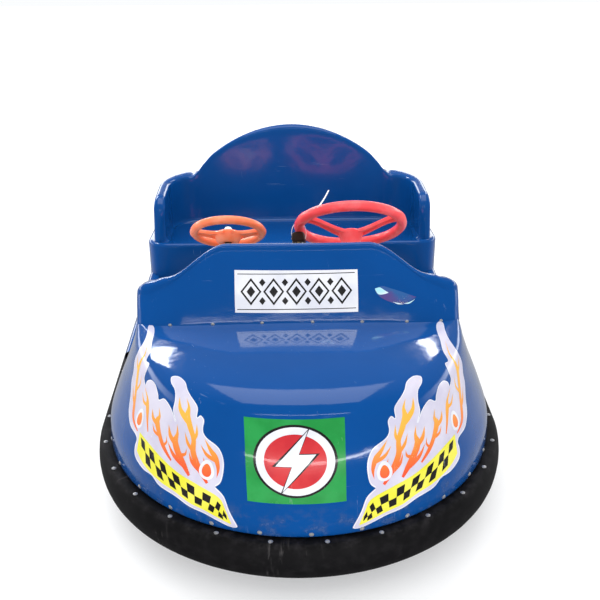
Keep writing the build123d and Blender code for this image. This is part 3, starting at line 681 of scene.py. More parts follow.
def dome(place, radius, height):
    """A low round head with a thin flange."""
    shares = [(0.0, 1.0), (0.35, 0.93), (0.62, 0.7), (0.78, 0.32), (0.82, 0.2), (1.0, 0.14)]
    profile = [(radius * u, height * v) for u, v in shares] + [(radius, -0.001)]
    return lathe(profile, place, 16)


BOLT_HEAD_R = 0.0062
coach_bolts = []
for spot, way in stations(inset=0.0225, start=0.055, pitch=0.138):
    coach_bolts.append(dome(facing(spot + Vector((0.0, 0.0, RUBBER_LEVEL)), UP), BOLT_HEAD_R, 0.0034))
plated("bumper_bolts", coach_bolts)

# ======== hood ========
# A glass-fibre moulding with a glossy blue gelcoat. Its half-round nose stands nearly upright,
# turns over to an almost flat top, and ends in a short upstand that the cowl is riveted to.


def gelcoat(name, haze):
    """Blue gelcoat, slightly wavy and patchy, with hairline scratches, low dust and some haze."""
    place = finish(name)
    z = place.axes()[2]
    patchy = place.noise(3.5, 4.0, 0.55)
    swirl = place.stretched(4.0, 4.0, 90.0).noise(1.6, 3.0, 0.7).mask(0.66, 0.7)
    cross = place.stretched(70.0, 40.0, 6.0).noise(1.3, 3.0, 0.7).mask(0.67, 0.7)
    rubbed = place.noise(6.0, 3.0).mask(0.52, 0.66)
    scratches = (swirl + cross) * rubbed * 0.35
    low_dust = z.mask(0.3, 0.2) * place.noise(26.0, 5.0, 0.65).mask(0.45, 0.7)
    tint = patchy.blend((0.002, 0.054, 0.225), (0.003, 0.076, 0.305))
    tint = scratches.blend(tint, (0.16, 0.27, 0.5))
    wavy = place.noise(7.0, 2.0) * 1.4 + place.noise(26.0, 2.0) * 0.3 + place.noise(300.0, 2.0) * 0.012
    return surface(place, {
        "Base Color": (low_dust * 0.3).blend(tint, (0.1, 0.12, 0.16)),
        "Roughness": scratches * 0.5 + low_dust * 0.3 + 0.1,
        "Coat Weight": 0.75 - low_dust * 0.4,
        "Coat Roughness": haze,
        "Specular IOR Level": 0.38,
        "Normal": wavy.bumps(0.0035, 0.5),
    })


blue = gelcoat("blue_gelcoat", 0.05)
BODY_END = -0.12        # rear ends of the hood's and the cowl's sides
CURL = 0.008            # their edges turn inwards with this radius
NOSE_SHARE = 0.72       # share of a turn that lies round the front
HOOD_FOOT = 0.1795      # height of its lower edge
HOOD_RINGS = [
    # side_half, side_z, nose_reach, nose_z, squareness
    (0.5475, HOOD_FOOT, 0.5510, HOOD_FOOT, 1.00),
    (0.5485, 0.1865, 0.5565, 0.1865, 1.00),
    (0.5490, 0.2120, 0.5590, 0.2120, 1.00),
    (0.5445, 0.2560, 0.5580, 0.2600, 1.00),
    (0.5250, 0.3120, 0.5530, 0.3180, 1.00),
    (0.5060, 0.3600, 0.5500, 0.3760, 1.00),
    (0.4870, 0.4050, 0.5430, 0.4300, 0.99),
    (0.4730, 0.4420, 0.5280, 0.4760, 0.97),
    (0.4630, 0.4700, 0.4980, 0.5110, 0.94),
    (0.4585, 0.4890, 0.4500, 0.5300, 0.90),
    (0.4560, 0.4990, 0.3800, 0.5370, 0.84),
    (0.4545, 0.5050, 0.3000, 0.5390, 0.76),
    (0.4540, 0.5085, 0.2200, 0.5380, 0.66),
    (0.4540, 0.5110, 0.1500, 0.5345, 0.58),
    (0.4540, 0.5125, 0.1000, 0.5305, 0.52),
    (0.4540, 0.5150, 0.0740, 0.5310, 0.50),
    (0.4540, 0.5200, 0.0660, 0.5365, 0.50),
    (0.4540, 0.5250, 0.0650, 0.5430, 0.50),
]


def between(table, share):
    """A smooth row of a table: 0 is its first row and 1 its last."""
    last = len(table) - 1
    at = min(max(share, 0.0), 1.0) * last
    i = min(int(at), last - 1)
    t = at - i
    mixed = []
    for a, b, c, d in zip(table[max(i - 1, 0)], table[i], table[i + 1], table[min(i + 2, last)]):
        bend = (2 * a - 5 * b + 4 * c - d) * t * t + (3 * b - a - 3 * c + d) * t ** 3
        mixed.append(b + 0.5 * ((c - a) * t + bend))
    return mixed


def wrap(turn, half, front, depth, squareness):
    """A point of a U from above: across the front, back along the sides, and in at the ends."""
    side = 1 if turn > 0 else -1
    t = abs(turn)
    back = BODY_END - CURL
    if t < NOSE_SHARE:
        a = t / NOSE_SHARE * pi / 2
        return side * half * sin(a), front + depth * (1 - cos(a) ** squareness)
    if t < 1:
        start = front + depth
        return side * half, start + (t - NOSE_SHARE) / (1 - NOSE_SHARE) * (back - start)
    a = min(1.0, (t - 1) / 0.03) * pi / 2
    inwards = CURL * (1 - cos(a)) + max(0.0, t - 1.03) * 0.5
    return side * (half - inwards), back + CURL * sin(a)


def share_of(value, low, high):
    """How far a value is from low to high, between 0 and 1."""
    return min(1.0, max(0.0, (value - low) / (high - low)))


def eased(share):
    """A share that starts and ends softly."""
    return share * share * (3 - 2 * share)


SIDE_FALL = 0.09        # how far the top of the hood's sides drops towards the entry
SIDE_HIGH = 0.345       # height of its sides


def hood_point(turn, rise):
    """A point of the hood: turn goes round from -1 to 1, and rise up from its lower edge."""
    half, side_z, reach, nose_z, squareness = between(HOOD_RINGS, rise)
    depth = reach + 0.05 * eased(share_of(rise * (len(HOOD_RINGS) - 1), 7, 13))
    x, y = wrap(turn, half, NOSE_CENTRE - reach, depth, squareness)
    facing_front = cos(min(1.0, abs(turn) / NOSE_SHARE) * pi / 2) ** 2
    sinking = SIDE_FALL * share_of(abs(turn), NOSE_SHARE, 1.0) * (side_z - HOOD_FOOT) / SIDE_HIGH
    return Vector((x, y, side_z - sinking + (nose_z - side_z) * facing_front))


side_turns = [1.006 + 0.006 * i for i in range(5)] + [1.045, 1.06]
turns = [-t for t in reversed(side_turns)] + [-1 + 0.01 * i for i in range(201)] + side_turns
hood_rows = [[hood_point(t, i / 102) for t in turns] for i in range(103)]
hood = piece("hood_shell", *skin(hood_rows), blue, slot="blue_gelcoat")
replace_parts(hood, "front_hood")


def thicken(shell, wall):
    """Gives a moulded skin its wall, on the inside."""
    added = shell.modifiers.new("wall", "SOLIDIFY")
    added.thickness = wall
    added.offset = -1.0


thicken(hood, 0.0045)


def on_hood(angle, height):
    """The hood's turn and rise at an angle round the nose, in degrees, and at a height."""
    turn = angle / 90 * NOSE_SHARE
    low, high = 0.05, 0.62
    for _ in range(24):
        middle = (low + high) / 2
        if hood_point(turn, middle).z < height:
            low = middle
        else:
            high = middle
    return turn, (low + high) / 2


def hood_normal(turn, rise):
    """The direction straight out of the hood."""
    across = hood_point(turn + 0.004, rise) - hood_point(turn - 0.004, rise)
    up = hood_point(turn, rise + 0.004) - hood_point(turn, rise - 0.004)
    return across.cross(up).normalized()


EDGE_RIVET_Z = 0.192
edge_rivets = []
for i in range(-6, 7):
    turn, rise = on_hood(1.7 + 13.2 * i, EDGE_RIVET_Z)
    place = facing(hood_point(turn, rise), hood_normal(turn, rise))
    edge_rivets.append(dome(place, BOLT_HEAD_R, 0.003))
for side in (-1, 1):
    for y in (-0.29, -0.165):
        place = facing((side * 0.5482, y, EDGE_RIVET_Z), (side, 0, 0))
        edge_rivets.append(dome(place, BOLT_HEAD_R, 0.003))
plated("hood_edge_rivets", edge_rivets)

# ======== cowl ========
# A second moulding stands on the hood and is riveted to its upstand. Its front leans back to
# a rolled lip, which drops in an S to a shoulder on each side and then towards the entry.
COWL_LIP = 0.012        # radius of the rolled lip across the front
COWL_TOP = 0.712
COWL_FOOT = 0.545
COWL_HALF = 0.454
SHOULDER_DROP = 0.086   # how far the lip drops to a shoulder
SHOULDER_IN, SHOULDER_OUT = 0.2, 0.38   # where that S starts and ends, from the middle
ENTRY_DROP = 0.102      # how far the lip falls from there to the entry
FALL_FROM = -0.35       # where along the car that fall starts


def cowl_top(x, y):
    """Height of the cowl's lip above a place."""
    z = COWL_TOP - SHOULDER_DROP * eased(share_of(abs(x), SHOULDER_IN, SHOULDER_OUT))
    z -= 0.2 * max(0.0, abs(x) - 0.36) * share_of(abs(x), 0.36, 0.41)
    return z - ENTRY_DROP * share_of(y, FALL_FROM, BODY_END) ** 1.5


def cowl_plan(turn, z):
    """A point of the cowl's outline at a height, and the direction straight out of it."""
    lean = (z - COWL_FOOT) / (COWL_TOP - COWL_FOOT)
    above = max(0.0, lean)
    half = COWL_HALF + 0.005 * eased(share_of(2.2 * lean, -0.5, 0.5)) - 0.004 * above ** 2
    outline = (half, -0.4575 + 0.1245 * lean, 0.115 + 0.03 * above, 0.5 + 0.06 * above)
    x, y = wrap(turn, *outline)
    x1, y1 = wrap(turn - 0.002, *outline)
    x2, y2 = wrap(turn + 0.002, *outline)
    return Vector((x, y, z)), Vector((y2 - y1, x1 - x2, 0.0)).normalized()


def lip_radius(x):
    """The lip's roll grows fatter over the two shoulders."""
    return COWL_LIP + 0.018 * eased(share_of(abs(x), 0.31, 0.44))


COWL_LAP = 0.0026       # how far the cowl stands out where it laps over the hood
LAP_REACH = 0.022       # how far down it laps, and how much of that is its turned-out edge
LAP_FLAT = 0.012


def cowl_column(turn):
    """Points of the cowl from its lap over the hood up to the inner side of its lip."""
    foot = hood_point(turn, 1.0).z - LAP_REACH
    top = 0.66
    for _ in range(12):
        spot, out = cowl_plan(turn, top)
        top = cowl_top(spot.x, spot.y)
    lip = lip_radius(spot.x)
    top -= lip
    column = []
    for i in range(3):
        spot, out = cowl_plan(turn, foot + 0.001 * i)
        column.append(spot + out * (0.0022 + 0.0008 * sin(pi / 4 * i)))
    for i in range(1, 31):
        z = foot + LAP_FLAT + (top - foot - LAP_FLAT) * i / 30
        spot, out = cowl_plan(turn, z)
        column.append(spot + out * COWL_LAP * (1 - i / 30))
    spot, out = cowl_plan(turn, top)
    for i in range(1, 11):
        a = pi * 1.1 * i / 10
        column.append(spot - out * lip * (1 - cos(a)) + Vector((0.0, 0.0, lip * sin(a))))
    column.append(column[-1] + out * 0.002 - Vector((0.0, 0.0, 0.016)))
    return column


cowl = piece("cowl_shell", *skin([cowl_column(t) for t in turns]), blue, slot="blue_gelcoat")
thicken(cowl, 0.0035)
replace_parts(cowl, "dash_cowl")

SEAM_HALF = 0.456       # half the cowl's width along the seam
SEAM_DROP = 0.012       # from the top of the upstand to the rivets
RIVET_R, RIVET_HIGH = 0.0055, 0.0028


def turn_at(x, half):
    """The turn at which an outline with that half width passes x."""
    return asin(min(1.0, x / half)) / (pi / 2) * NOSE_SHARE


seam_rivets = []
for x in (-0.357, -0.238, -0.102, 0.037, 0.174, 0.299, 0.397):
    turn = turn_at(x, SEAM_HALF)
    spot, out = cowl_plan(turn, hood_point(turn, 1.0).z - SEAM_DROP)
    place = facing(spot + out * 0.002, out + Vector((0.0, 0.0, 0.3)))
    seam_rivets.append(dome(place, RIVET_R, RIVET_HIGH))
for side in (-1, 1):
    for y in (-0.33, -0.235, -0.15):
        share = share_of(y, NOSE_CENTRE, BODY_END - CURL)
        turn = side * (NOSE_SHARE + (1 - NOSE_SHARE) * share)
        spot = (side * SEAM_HALF, y, hood_point(turn, 1.0).z - SEAM_DROP)
        seam_rivets.append(dome(facing(spot, (side, 0, 0)), RIVET_R, RIVET_HIGH))
plated("seam_rivets", seam_rivets)

# ======== seat ========
# The base is a skirt whose edge rolls over into the flat bench. One hollow wall stands on it as
# wings and backrest, with rolled top edges, and the joint between them runs round as a crease.
BENCH_FRONT_Y = 0.47
BENCH_HIGH = 0.402
BENCH_FALL = -0.0836    # the bench falls towards the backrest
SEAT_HALF, SEAT_REAR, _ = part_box("seat_base")[1]


def bench_z(y):
    """Height of the bench at a place along the car."""
    return BENCH_HIGH + BENCH_FALL * (y - BENCH_FRONT_Y)


def seat_line(inset):
    """The base's outline from above, moved in: round front corners and larger rear ones."""
    corners = []
    for radius, edge, way in ((0.09, BENCH_FRONT_Y, 1), (0.21, SEAT_REAR, -1)):
        middle_x, middle_y = SEAT_HALF - radius, edge + way * radius
        r = radius - inset
        arc = [(r * sin(pi / 2 * i / 16), -way * r * cos(pi / 2 * i / 16)) for i in range(17)]
        corners.append([(middle_x + u, middle_y + v) for u, v in arc[::way]])
    (front_x, front_y), (side_x, side_y) = corners[0][0], corners[0][-1]
    (rear_x, rear_y), side_end = corners[1][-1], corners[1][0][1]
    front = [(front_x * i / 12, front_y) for i in range(12)]
    side_run = [(side_x, side_y + (side_end - side_y) * i / 14) for i in range(1, 14)]
    rear = [(rear_x * (1 - i / 14), rear_y) for i in range(1, 15)]
    half_line = front + corners[0] + side_run + corners[1] + rear
    return half_line + [(-x, y) for x, y in reversed(half_line[1:-1])]


SEAT_EDGE = 0.013       # radius of the bench's rolled edge
base_rows = []
for inset, z in ((0.006, 0.181), (0.001, 0.18), (0.0, 0.1825), (0.0, 0.24), (0.0, 0.3), (0.0, 0.35)):
    base_rows.append([(x, y, z) for x, y in seat_line(inset)])
for i in range(9):
    a = pi / 2 * i / 8
    inset, drop = SEAT_EDGE * (1 - cos(a)), SEAT_EDGE * (1 - sin(a))
    base_rows.append([(x, y, bench_z(y) - drop) for x, y in seat_line(inset)])
for inset in (0.03, 0.055):
    base_rows.append([(x, y, bench_z(y)) for x, y in seat_line(inset)])
points, faces = skin(base_rows, closed=True)
wide = len(base_rows[0])
last = len(points) - wide
for i in range(wide // 2):
    strip = (last + i, last + i + 1, last + wide - i - 1, last + (wide - i) % wide)
    faces.append(tuple(dict.fromkeys(strip)))
worn_blue = gelcoat("worn_gelcoat", 0.15)
seat = piece("seat_bench", points, faces, worn_blue, slot="blue_gelcoat")
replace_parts(seat, "seat_base", "seat_pan")

WALL_IN_HALF = 0.477    # half the room between the wings
WALL_INSET = 0.028      # how far the wall stands in from the base on each side
WALL_FOOT = 0.354       # height from which its lean is measured
BACK_Y = 0.805          # front of the backrest at that height
OUTER_CORNER, INNER_CORNER = 0.21, 0.12
WING_Y = 0.494          # front ends of the wings
WING_Z = 0.562
ARCH_R = 0.459
ARCH_TOP = 0.752
SIDE_PART = 0.42        # shares of half the wall: its side, and its side with the corner
CORNER_PART = 0.66
WALL_EDGE = 0.017       # radius of the wall's rolled top edge
WING_ROUND = 0.075      # radius of the wings' front corners
ARCH_BLEND = 0.075      # height over which a wing sweeps up into the arch


def wall_top(x):
    """Height of the wall's top edge: level wings that sweep up into the backrest's arch."""
    arch = ARCH_TOP - ARCH_R + sqrt(max(0.0, ARCH_R ** 2 - x * x))
    if abs(x) > 0.44:
        arch = 0.0
    share = share_of(arch - WING_Z, -ARCH_BLEND, ARCH_BLEND)
    return WING_Z + (arch - WING_Z) * share + ARCH_BLEND * share * (1 - share) * 0.25


def wall_line(way, z, outer):
    """A point of the wall from above: way goes from -1 at one wing's front to 1 at the other's."""
    rise = z - WALL_FOOT
    lean = max(0.0, z - BENCH_HIGH)
    if outer:
        half, rear, corner = SEAT_HALF - WALL_INSET - 0.03 * lean, SEAT_REAR - 0.137 * lean, OUTER_CORNER
    else:
        half, rear, corner = WALL_IN_HALF, BACK_Y + 0.1256 * rise, INNER_CORNER
    side = 1 if way > 0 else -1
    s = 1 - abs(way)
    front = WING_Y + 0.1 * rise
    if s < SIDE_PART:
        return side * half, front + (rear - corner - front) * s / SIDE_PART
    if s < CORNER_PART:
        a = share_of(s, SIDE_PART, CORNER_PART) * pi / 2
        return side * (half - corner * (1 - cos(a))), rear - corner * (1 - sin(a))
    return side * (half - corner) * (1 - share_of(s, CORNER_PART, 1.0)), rear


def wall_section(way, share_of_end):
    """One section across the wall, from its outer foot over its top to the bench."""
    outer_x, outer_y = wall_line(way, 0.5, True)
    inner_x, inner_y = wall_line(way, 0.5, False)
    middle_x = (outer_x + inner_x) / 2
    top = wall_top(middle_x)
    round_off = WING_ROUND * (1 - sqrt(max(0.0, 1 - (1 - share_of_end) ** 2)))
    top -= round_off
    thin = sqrt(max(0.0, 1 - max(0.0, 1 - share_of_end * WING_ROUND / 0.023) ** 2))

    def spot(z, across):
        """A point at a height: across is 0 on the outer face and 1 on the inner one."""
        ox, oy = wall_line(way, z, True)
        ix, iy = wall_line(way, z, False)
        if share_of_end < 1:
            oy = iy = max(oy, iy) if abs(oy - iy) > 0.5 else (oy + iy) / 2
        across = 0.5 + (across - 0.5) * thin
        return Vector((ox + (ix - ox) * across, oy + (iy - oy) * across, z))

    low = bench_z((outer_y + inner_y) / 2) - 0.002
    foot, edge = low + 0.003, top - WALL_EDGE
    section = [spot(low, 0.03), spot(foot, 0.0)]
    section += [spot(foot + (edge - foot) * i / 12, 0.0) for i in range(1, 13)]
    wall = (spot(top, 1.0) - spot(top, 0.0)).length
    share = min(WALL_EDGE, wall * 0.49) / max(wall, 1e-6)
    for i in range(1, 7):
        a = pi / 2 * i / 6
        section.append(spot(top - WALL_EDGE * (1 - sin(a)), share * (1 - cos(a))))
    for i in range(7):
        a = pi / 2 * i / 6
        section.append(spot(top - WALL_EDGE * (1 - cos(a)), 1 - share * (1 - sin(a))))
    inner_low = bench_z(inner_y) + 0.02
    section += [spot(edge + (inner_low - edge) * i / 12, 1.0) for i in range(1, 13)]
    foot = section[-1]
    into = spot(inner_low, 1.0) - spot(inner_low, 0.0)
    into = into.normalized() if into.length > 0 else Vector((0.0, 1.0, 0.0))
    for i in range(1, 7):
        a = pi / 2 * i / 6
        section.append(foot + into * 0.02 * thin * (1 - cos(a)) - Vector((0.0, 0.0, 0.021 * sin(a))))
    return section


ROUND_PART = 0.13125    # share of half the wall that a wing's round front takes
ways = []
for i in range(15):
    share = 1 - cos(pi / 2 * i / 14)
    ways.append((1 - ROUND_PART * share, share))
for start, end, count in ((0.1312, SIDE_PART, 8), (SIDE_PART, CORNER_PART, 16), (CORNER_PART, 1.0, 24)):
    ways += [(1 - (start + (end - start) * i / count), 1.0) for i in range(1, count + 1)]
half_sections = [wall_section(max(way, 1e-6), share) for way, share in ways]
mirrored = [[Vector((-p.x, p.y, p.z)) for p in section] for section in reversed(half_sections[:-1])]
wall = piece("seat_wall", *skin(half_sections + mirrored), worn_blue, slot="blue_gelcoat")
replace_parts(wall, "seat_surround")

# ======== sills ========
# Two low hollow mouldings close the sides between the hood and the seat, over the hoop. Rivets
# hold them and the seat's skirt down all round, just above the rubber.
SILL_FRONT, SILL_REAR = -0.129, 0.565
for name, side in (("left", 1), ("right", -1)):
    low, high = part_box(f"side_sill_{name}")
    outer_x = high.x if side > 0 else low.x
    # section across the sill: inwards from its outer face, and height
    section = [(0.0, 0.1815), (0.0, 0.25)]
    section += [(0.016 * (1 - cos(pi / 12 * i)), 0.254 + 0.016 * sin(pi / 12 * i)) for i in range(1, 7)]
    section += [(0.036 + 0.01 * sin(pi / 12 * i), 0.27 - 0.01 * (1 - cos(pi / 12 * i))) for i in range(7)]
    section += [(0.0465, 0.2), (0.0475, 0.16)]
    rows = []
    for i in range(25):
        y = SILL_FRONT + (SILL_REAR - SILL_FRONT) * i / 24
        rows.append([(outer_x - side * u, y, z) for u, z in section])
    sill = piece(f"sill_{name}", *skin(rows), blue, slot="blue_gelcoat")
    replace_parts(sill, f"side_sill_{name}")
skirt_rivets = []
for spot, way in stations(inset=0.04, start=0.0, pitch=0.127):
    if spot.y > -0.1:
        place = facing(spot + Vector((0.0, 0.0, 0.194)), way)
        skirt_rivets.append(dome(place, BOLT_HEAD_R, 0.003))
plated("skirt_rivets", skirt_rivets)

# ======== charging socket ========
# A black moulded housing screwed to the tail by three round heads, with a deep round socket
# and three contact pins inside it.
dash_black = moulded_plastic("dash_black", (0.012, 0.012, 0.013), 0.55)
socket_low, socket_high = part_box("charging_socket")
socket_z = (socket_low.z + socket_high.z) / 2
socket_place = facing((0.0, socket_low.y, socket_z), (0, 1, 0))
flange_r = socket_high.x
deep = socket_high.y - socket_low.y
housing = [(0.0, 0.004), (0.014, 0.004), (0.014, deep - 0.001), (0.015, deep), (0.0185, deep)]
housing += [(0.02, deep - 0.0015), (0.0196, 0.0055), (0.021, 0.004), (flange_r - 0.002, 0.004)]
housing += [(flange_r, 0.002), (flange_r, 0.0)]
socket_housing = lathe(housing, socket_place, 40)
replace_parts(piece("socket_housing", *socket_housing, dash_black, slot="dash_black"), "charging_socket")
PIN = [(0.0017, 0.0), (0.0017, 0.013), (0.001, 0.0145), (0.0, 0.0145)]
PINS_R, SCREWS_R = 0.007, 0.0252
pins = []
for a in full_turn(3, pi / 2):
    spot = Matrix.Translation((PINS_R * cos(a), PINS_R * sin(a), 0.004))
    pins.append(lathe(PIN, socket_place @ spot, 12))
    a += pi / 3
    spot = Matrix.Translation((SCREWS_R * cos(a), SCREWS_R * sin(a), 0.0038))
    pins.append(dome(socket_place @ spot, 0.0026, 0.0014))
plated("socket_pins", pins)

# ======== dash panel ========
# A flat grained panel under the cowl's lip, square to both columns, with a rubber grommet round each
# column.
COLUMN_LEAN = radians(41)
COWL_WIDEST = 0.459     # half the cowl's width where it is widest
column_way = Vector((0.0, sin(COLUMN_LEAN), cos(COLUMN_LEAN)))
panel_way = Vector((0.0, -cos(COLUMN_LEAN), sin(COLUMN_LEAN)))
panel_low, panel_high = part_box("dash_panel")
panel_foot = Vector((0.0, panel_high.y, panel_low.z))
panel_reach = (panel_foot.y - panel_low.y) / cos(COLUMN_LEAN) - 0.012


def pokes_out(half, spot):
    """Whether the panel would show over the cowl's lip or through its front."""
    front_y = cowl_plan(turn_at(half, COWL_WIDEST), spot.z)[0].y
    return cowl_top(half + 0.004, spot.y) - 0.014 < spot.z or front_y > spot.y - 0.012


panel_rows = []
for i in range(41):
    middle = panel_foot + panel_way * (panel_reach * i / 40)
    half = 0.4465
    while half > 0.02 and pokes_out(half, middle):
        half -= 0.002
    panel_rows.append([middle + Vector((half * (j / 20 - 1), 0.0, 0.0)) for j in range(41)])
panel = piece("dash_sheet", *skin(panel_rows), dash_black, slot="dash_black")
thicken(panel, 0.004)
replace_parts(panel, "dash_panel")

# ======== steering columns ========
# Two painted tubes stand on the shelf. The driver's has a shaft down to the bevel box, and a
# rubber boot closes the dash panel round each of them.
dress(frame_paint, "steering_column", "child_column")
driver_low, driver_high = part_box("driver_steering_wheel")
child_low, child_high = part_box("child_steering_wheel")
driver_centre = (driver_low + driver_high) / 2
child_centre = (child_low + child_high) / 2
# A boot's folds, by radius and height over the panel.
boot = [(0.0185, 0.0), (0.034, 0.0), (0.034, 0.003), (0.031, 0.004), (0.029, 0.006), (0.03, 0.009)]
boot += [(0.0265, 0.011), (0.0275, 0.014), (0.0235, 0.016), (0.0245, 0.019), (0.021, 0.021)]
boot += [(0.0205, 0.027), (0.0185, 0.027)]
boots = []
for centre in (driver_centre, child_centre):
    depth = (centre - panel_foot).dot(column_way)
    boots.append(lathe(boot, facing(centre - column_way * depth, column_way), 32))
piece("column_boots", *gather(boots), tyre_black, slot="tyre_rubber")
box_bolts = []
bevel_low, bevel_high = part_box("bevel_box")
for x in (bevel_low.x + 0.012, bevel_high.x - 0.012):
    for z in (bevel_low.z + 0.014, bevel_low.z + 0.058):
        box_bolts.append(hex_bolt(facing((x, bevel_low.y, z), (0, -1, 0)), 0.008, 0.006))
plated("bevel_box_bolts", box_bolts)

# ======== steering wheels ========
# Both are moulded in one piece round a steel core: a round rim, channelled spokes that flare
# into it, and a hub that tapers down over the end of its column.


def gloss_plastic_with_painted_glow(name, tint, pale):
    """Semi-gloss moulded plastic, paler where hands have polished it and faintly dimpled. It also has a
    painted glow in its own colour, which brightens it as if more light fell on it.
    """
    place = finish(name)
    handled = place.noise(22.0, 4.0, 0.6).mask(0.42, 0.7)
    dimples = place.noise(600.0, 2.0)
    nicks = place.noise(150.0, 2.0).mask(0.74, 0.77)
    colour = (handled * 0.55).blend(tint, pale)
    return surface(place, {
        "Base Color": (nicks * 0.6).blend(colour, tuple(c * 0.4 for c in tint)),
        "Roughness": 0.34 - handled * 0.08 + nicks * 0.3,
        "Coat Weight": 0.5,
        "Coat Roughness": 0.12,
        # painted light: the plastic glows faintly in its own colour though it is no lamp
        "Emission Color": colour,
        "Emission Strength": 0.2,
        "Normal": (dimples * 0.5 - nicks).bumps(0.0002, 0.5),
    })


# A spoke's section is a channel open to the back, in shares of its width and thickness.
CHANNEL = ((-0.5, -0.5), (-0.36, -0.5), (-0.3, -0.12), (0.3, -0.12), (0.36, -0.5), (0.5, -0.5))
CHANNEL += ((0.53, 0.0), (0.47, 0.4), (0.3, 0.5), (-0.3, 0.5), (-0.47, 0.4), (-0.53, 0.0))
SPOKE_ROOT = 0.012      # where a spoke starts inside the hub
SPOKE_SHORT = 0.004     # how far inside the rim's middle line it ends
RIM_SWELL = 0.0014      # the rim is that much thicker where a spoke meets it
SWELL_TURN = 0.16


def rim_parts(place, rim_r, tube_r, dish, hub_spread, spokes):
    """A steering wheel's rim and spokes. Each spoke is (angle from the top, width)."""
    rows = []
    for a in full_turn(112):
        thick = tube_r
        for angle, _ in spokes:
            away = (a - radians(angle - 90) + pi) % (2 * pi) - pi
            thick += RIM_SWELL * max(0.0, 1 - (away / SWELL_TURN) ** 2)
        ring = []
        for b in full_turn(20):
            reach = rim_r + thick * cos(b)
            ring.append(place @ Vector((reach * cos(a), reach * sin(a), thick * sin(b))))
        rows.append(ring)
    parts = [skin(rows, closed=True, looped=True)]
    for angle, width in spokes:
        turn = place @ Matrix.Rotation(radians(angle - 90), 4, "Z")
        rows = []
        for i in range(17):
            share = i / 16
            reach = SPOKE_ROOT + (rim_r - SPOKE_SHORT - SPOKE_ROOT) * share
            height = -dish * (1 - eased(share))
            wide = width + hub_spread * (1 - share) ** 3 + 0.016 * share ** 10
            thick = 0.0125 + 0.006 * share ** 8
            rows.append([turn @ Vector((reach, u * wide, height + v * thick)) for u, v in CHANNEL])
        parts.append(skin(rows, closed=True))
    return parts


lean = Matrix.Rotation(-COLUMN_LEAN, 4, "X")
driver_place = Matrix.Translation(driver_centre) @ lean
child_place = Matrix.Translation(child_centre) @ lean
red = gloss_plastic_with_painted_glow("red_plastic", (0.93, 0.065, 0.075), (0.97, 0.16, 0.17))
orange = gloss_plastic_with_painted_glow("orange_plastic", (0.94, 0.2, 0.08), (0.97, 0.38, 0.24))
white = gloss_plastic_with_painted_glow("white_plastic", (0.78, 0.78, 0.77), (0.86, 0.86, 0.86))
DRIVER_RIM_R, CHILD_RIM_R = 0.162, 0.1065
driver_parts = rim_parts(driver_place, DRIVER_RIM_R, tube_r=0.016, dish=0.03, hub_spread=0.024,
                         spokes=((65, 0.026), (-65, 0.026), (180, 0.03)))
driver_hub = [(0.0, -0.021), (0.026, -0.021), (0.034, -0.0225), (0.039, -0.028), (0.0385, -0.035)]
driver_hub += [(0.034, -0.046), (0.0305, -0.06), (0.029, -0.077), (0.0275, -0.0785)]
driver_hub += [(0.0205, -0.0785), (0.0195, -0.077), (0.0195, -0.057), (0.0, -0.057)]
driver_parts.append(lathe(driver_hub, driver_place, 40))
driver_rim = piece("driver_wheel_moulding", *gather(driver_parts), red, "driver_wheel", "red_plastic")
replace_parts(driver_rim, "driver_steering_wheel")
nut_place = driver_place @ Matrix.Translation((0.0, 0.0, -0.021))
plated("driver_wheel_nut", [hex_bolt(nut_place, 0.019, 0.009)], "driver_wheel")

child_parts = rim_parts(child_place, CHILD_RIM_R, tube_r=0.013, dish=0.012, hub_spread=0.062,
                        spokes=((90, 0.03), (-90, 0.03), (180, 0.028)))
child_hub = [(0.0, -0.0005), (0.028, -0.001), (0.038, -0.004), (0.043, -0.011), (0.042, -0.02)]
child_hub += [(0.036, -0.031), (0.031, -0.039), (0.028, -0.0405), (0.0205, -0.04), (0.019, -0.037)]
child_hub += [(0.018, -0.018), (0.0114, -0.018), (0.0114, -0.002)]
child_parts.append(lathe(child_hub, child_place, 40))
child_rim = piece("child_wheel_moulding", *gather(child_parts), orange, "child_wheel", "orange_plastic")
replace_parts(child_rim, "child_steering_wheel")
cap_profile = [(0.0, 0.0175), (0.005, 0.017), (0.0095, 0.0145), (0.0125, 0.01), (0.0135, 0.005)]
cap_profile += [(0.0145, 0.0035), (0.021, 0.0025), (0.022, 0.001), (0.022, -0.002)]
cap = lathe(cap_profile, child_place, 32)
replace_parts(piece("child_wheel_dome", *cap, white, "child_wheel", "white_plastic"), "child_wheel_cap")

# ======== start switch ========
# A small brown switch block with brass screws, strapped under the driver's rim by a white tie.
# The tie's long end was never cut off: it follows the rim's back and then stands away from it.
SWITCH_TURN = radians(-188)     # how far round the rim the switch sits
SWITCH_WIDE, SWITCH_THICK = 0.021, 0.017
switch_spot = Matrix.Translation((0.165, 0.0, -0.034))
switch_place = driver_place @ Matrix.Rotation(SWITCH_TURN, 4, "Z") @ switch_spot
brown = moulded_plastic("switch_brown", (0.035, 0.014, 0.008), 0.4)


def squared(share):
    """A sine or cosine filled out, so that a circle drawn with it becomes a rounded block."""
    return abs(share) ** 0.6 * (1 if share > 0 else -1)


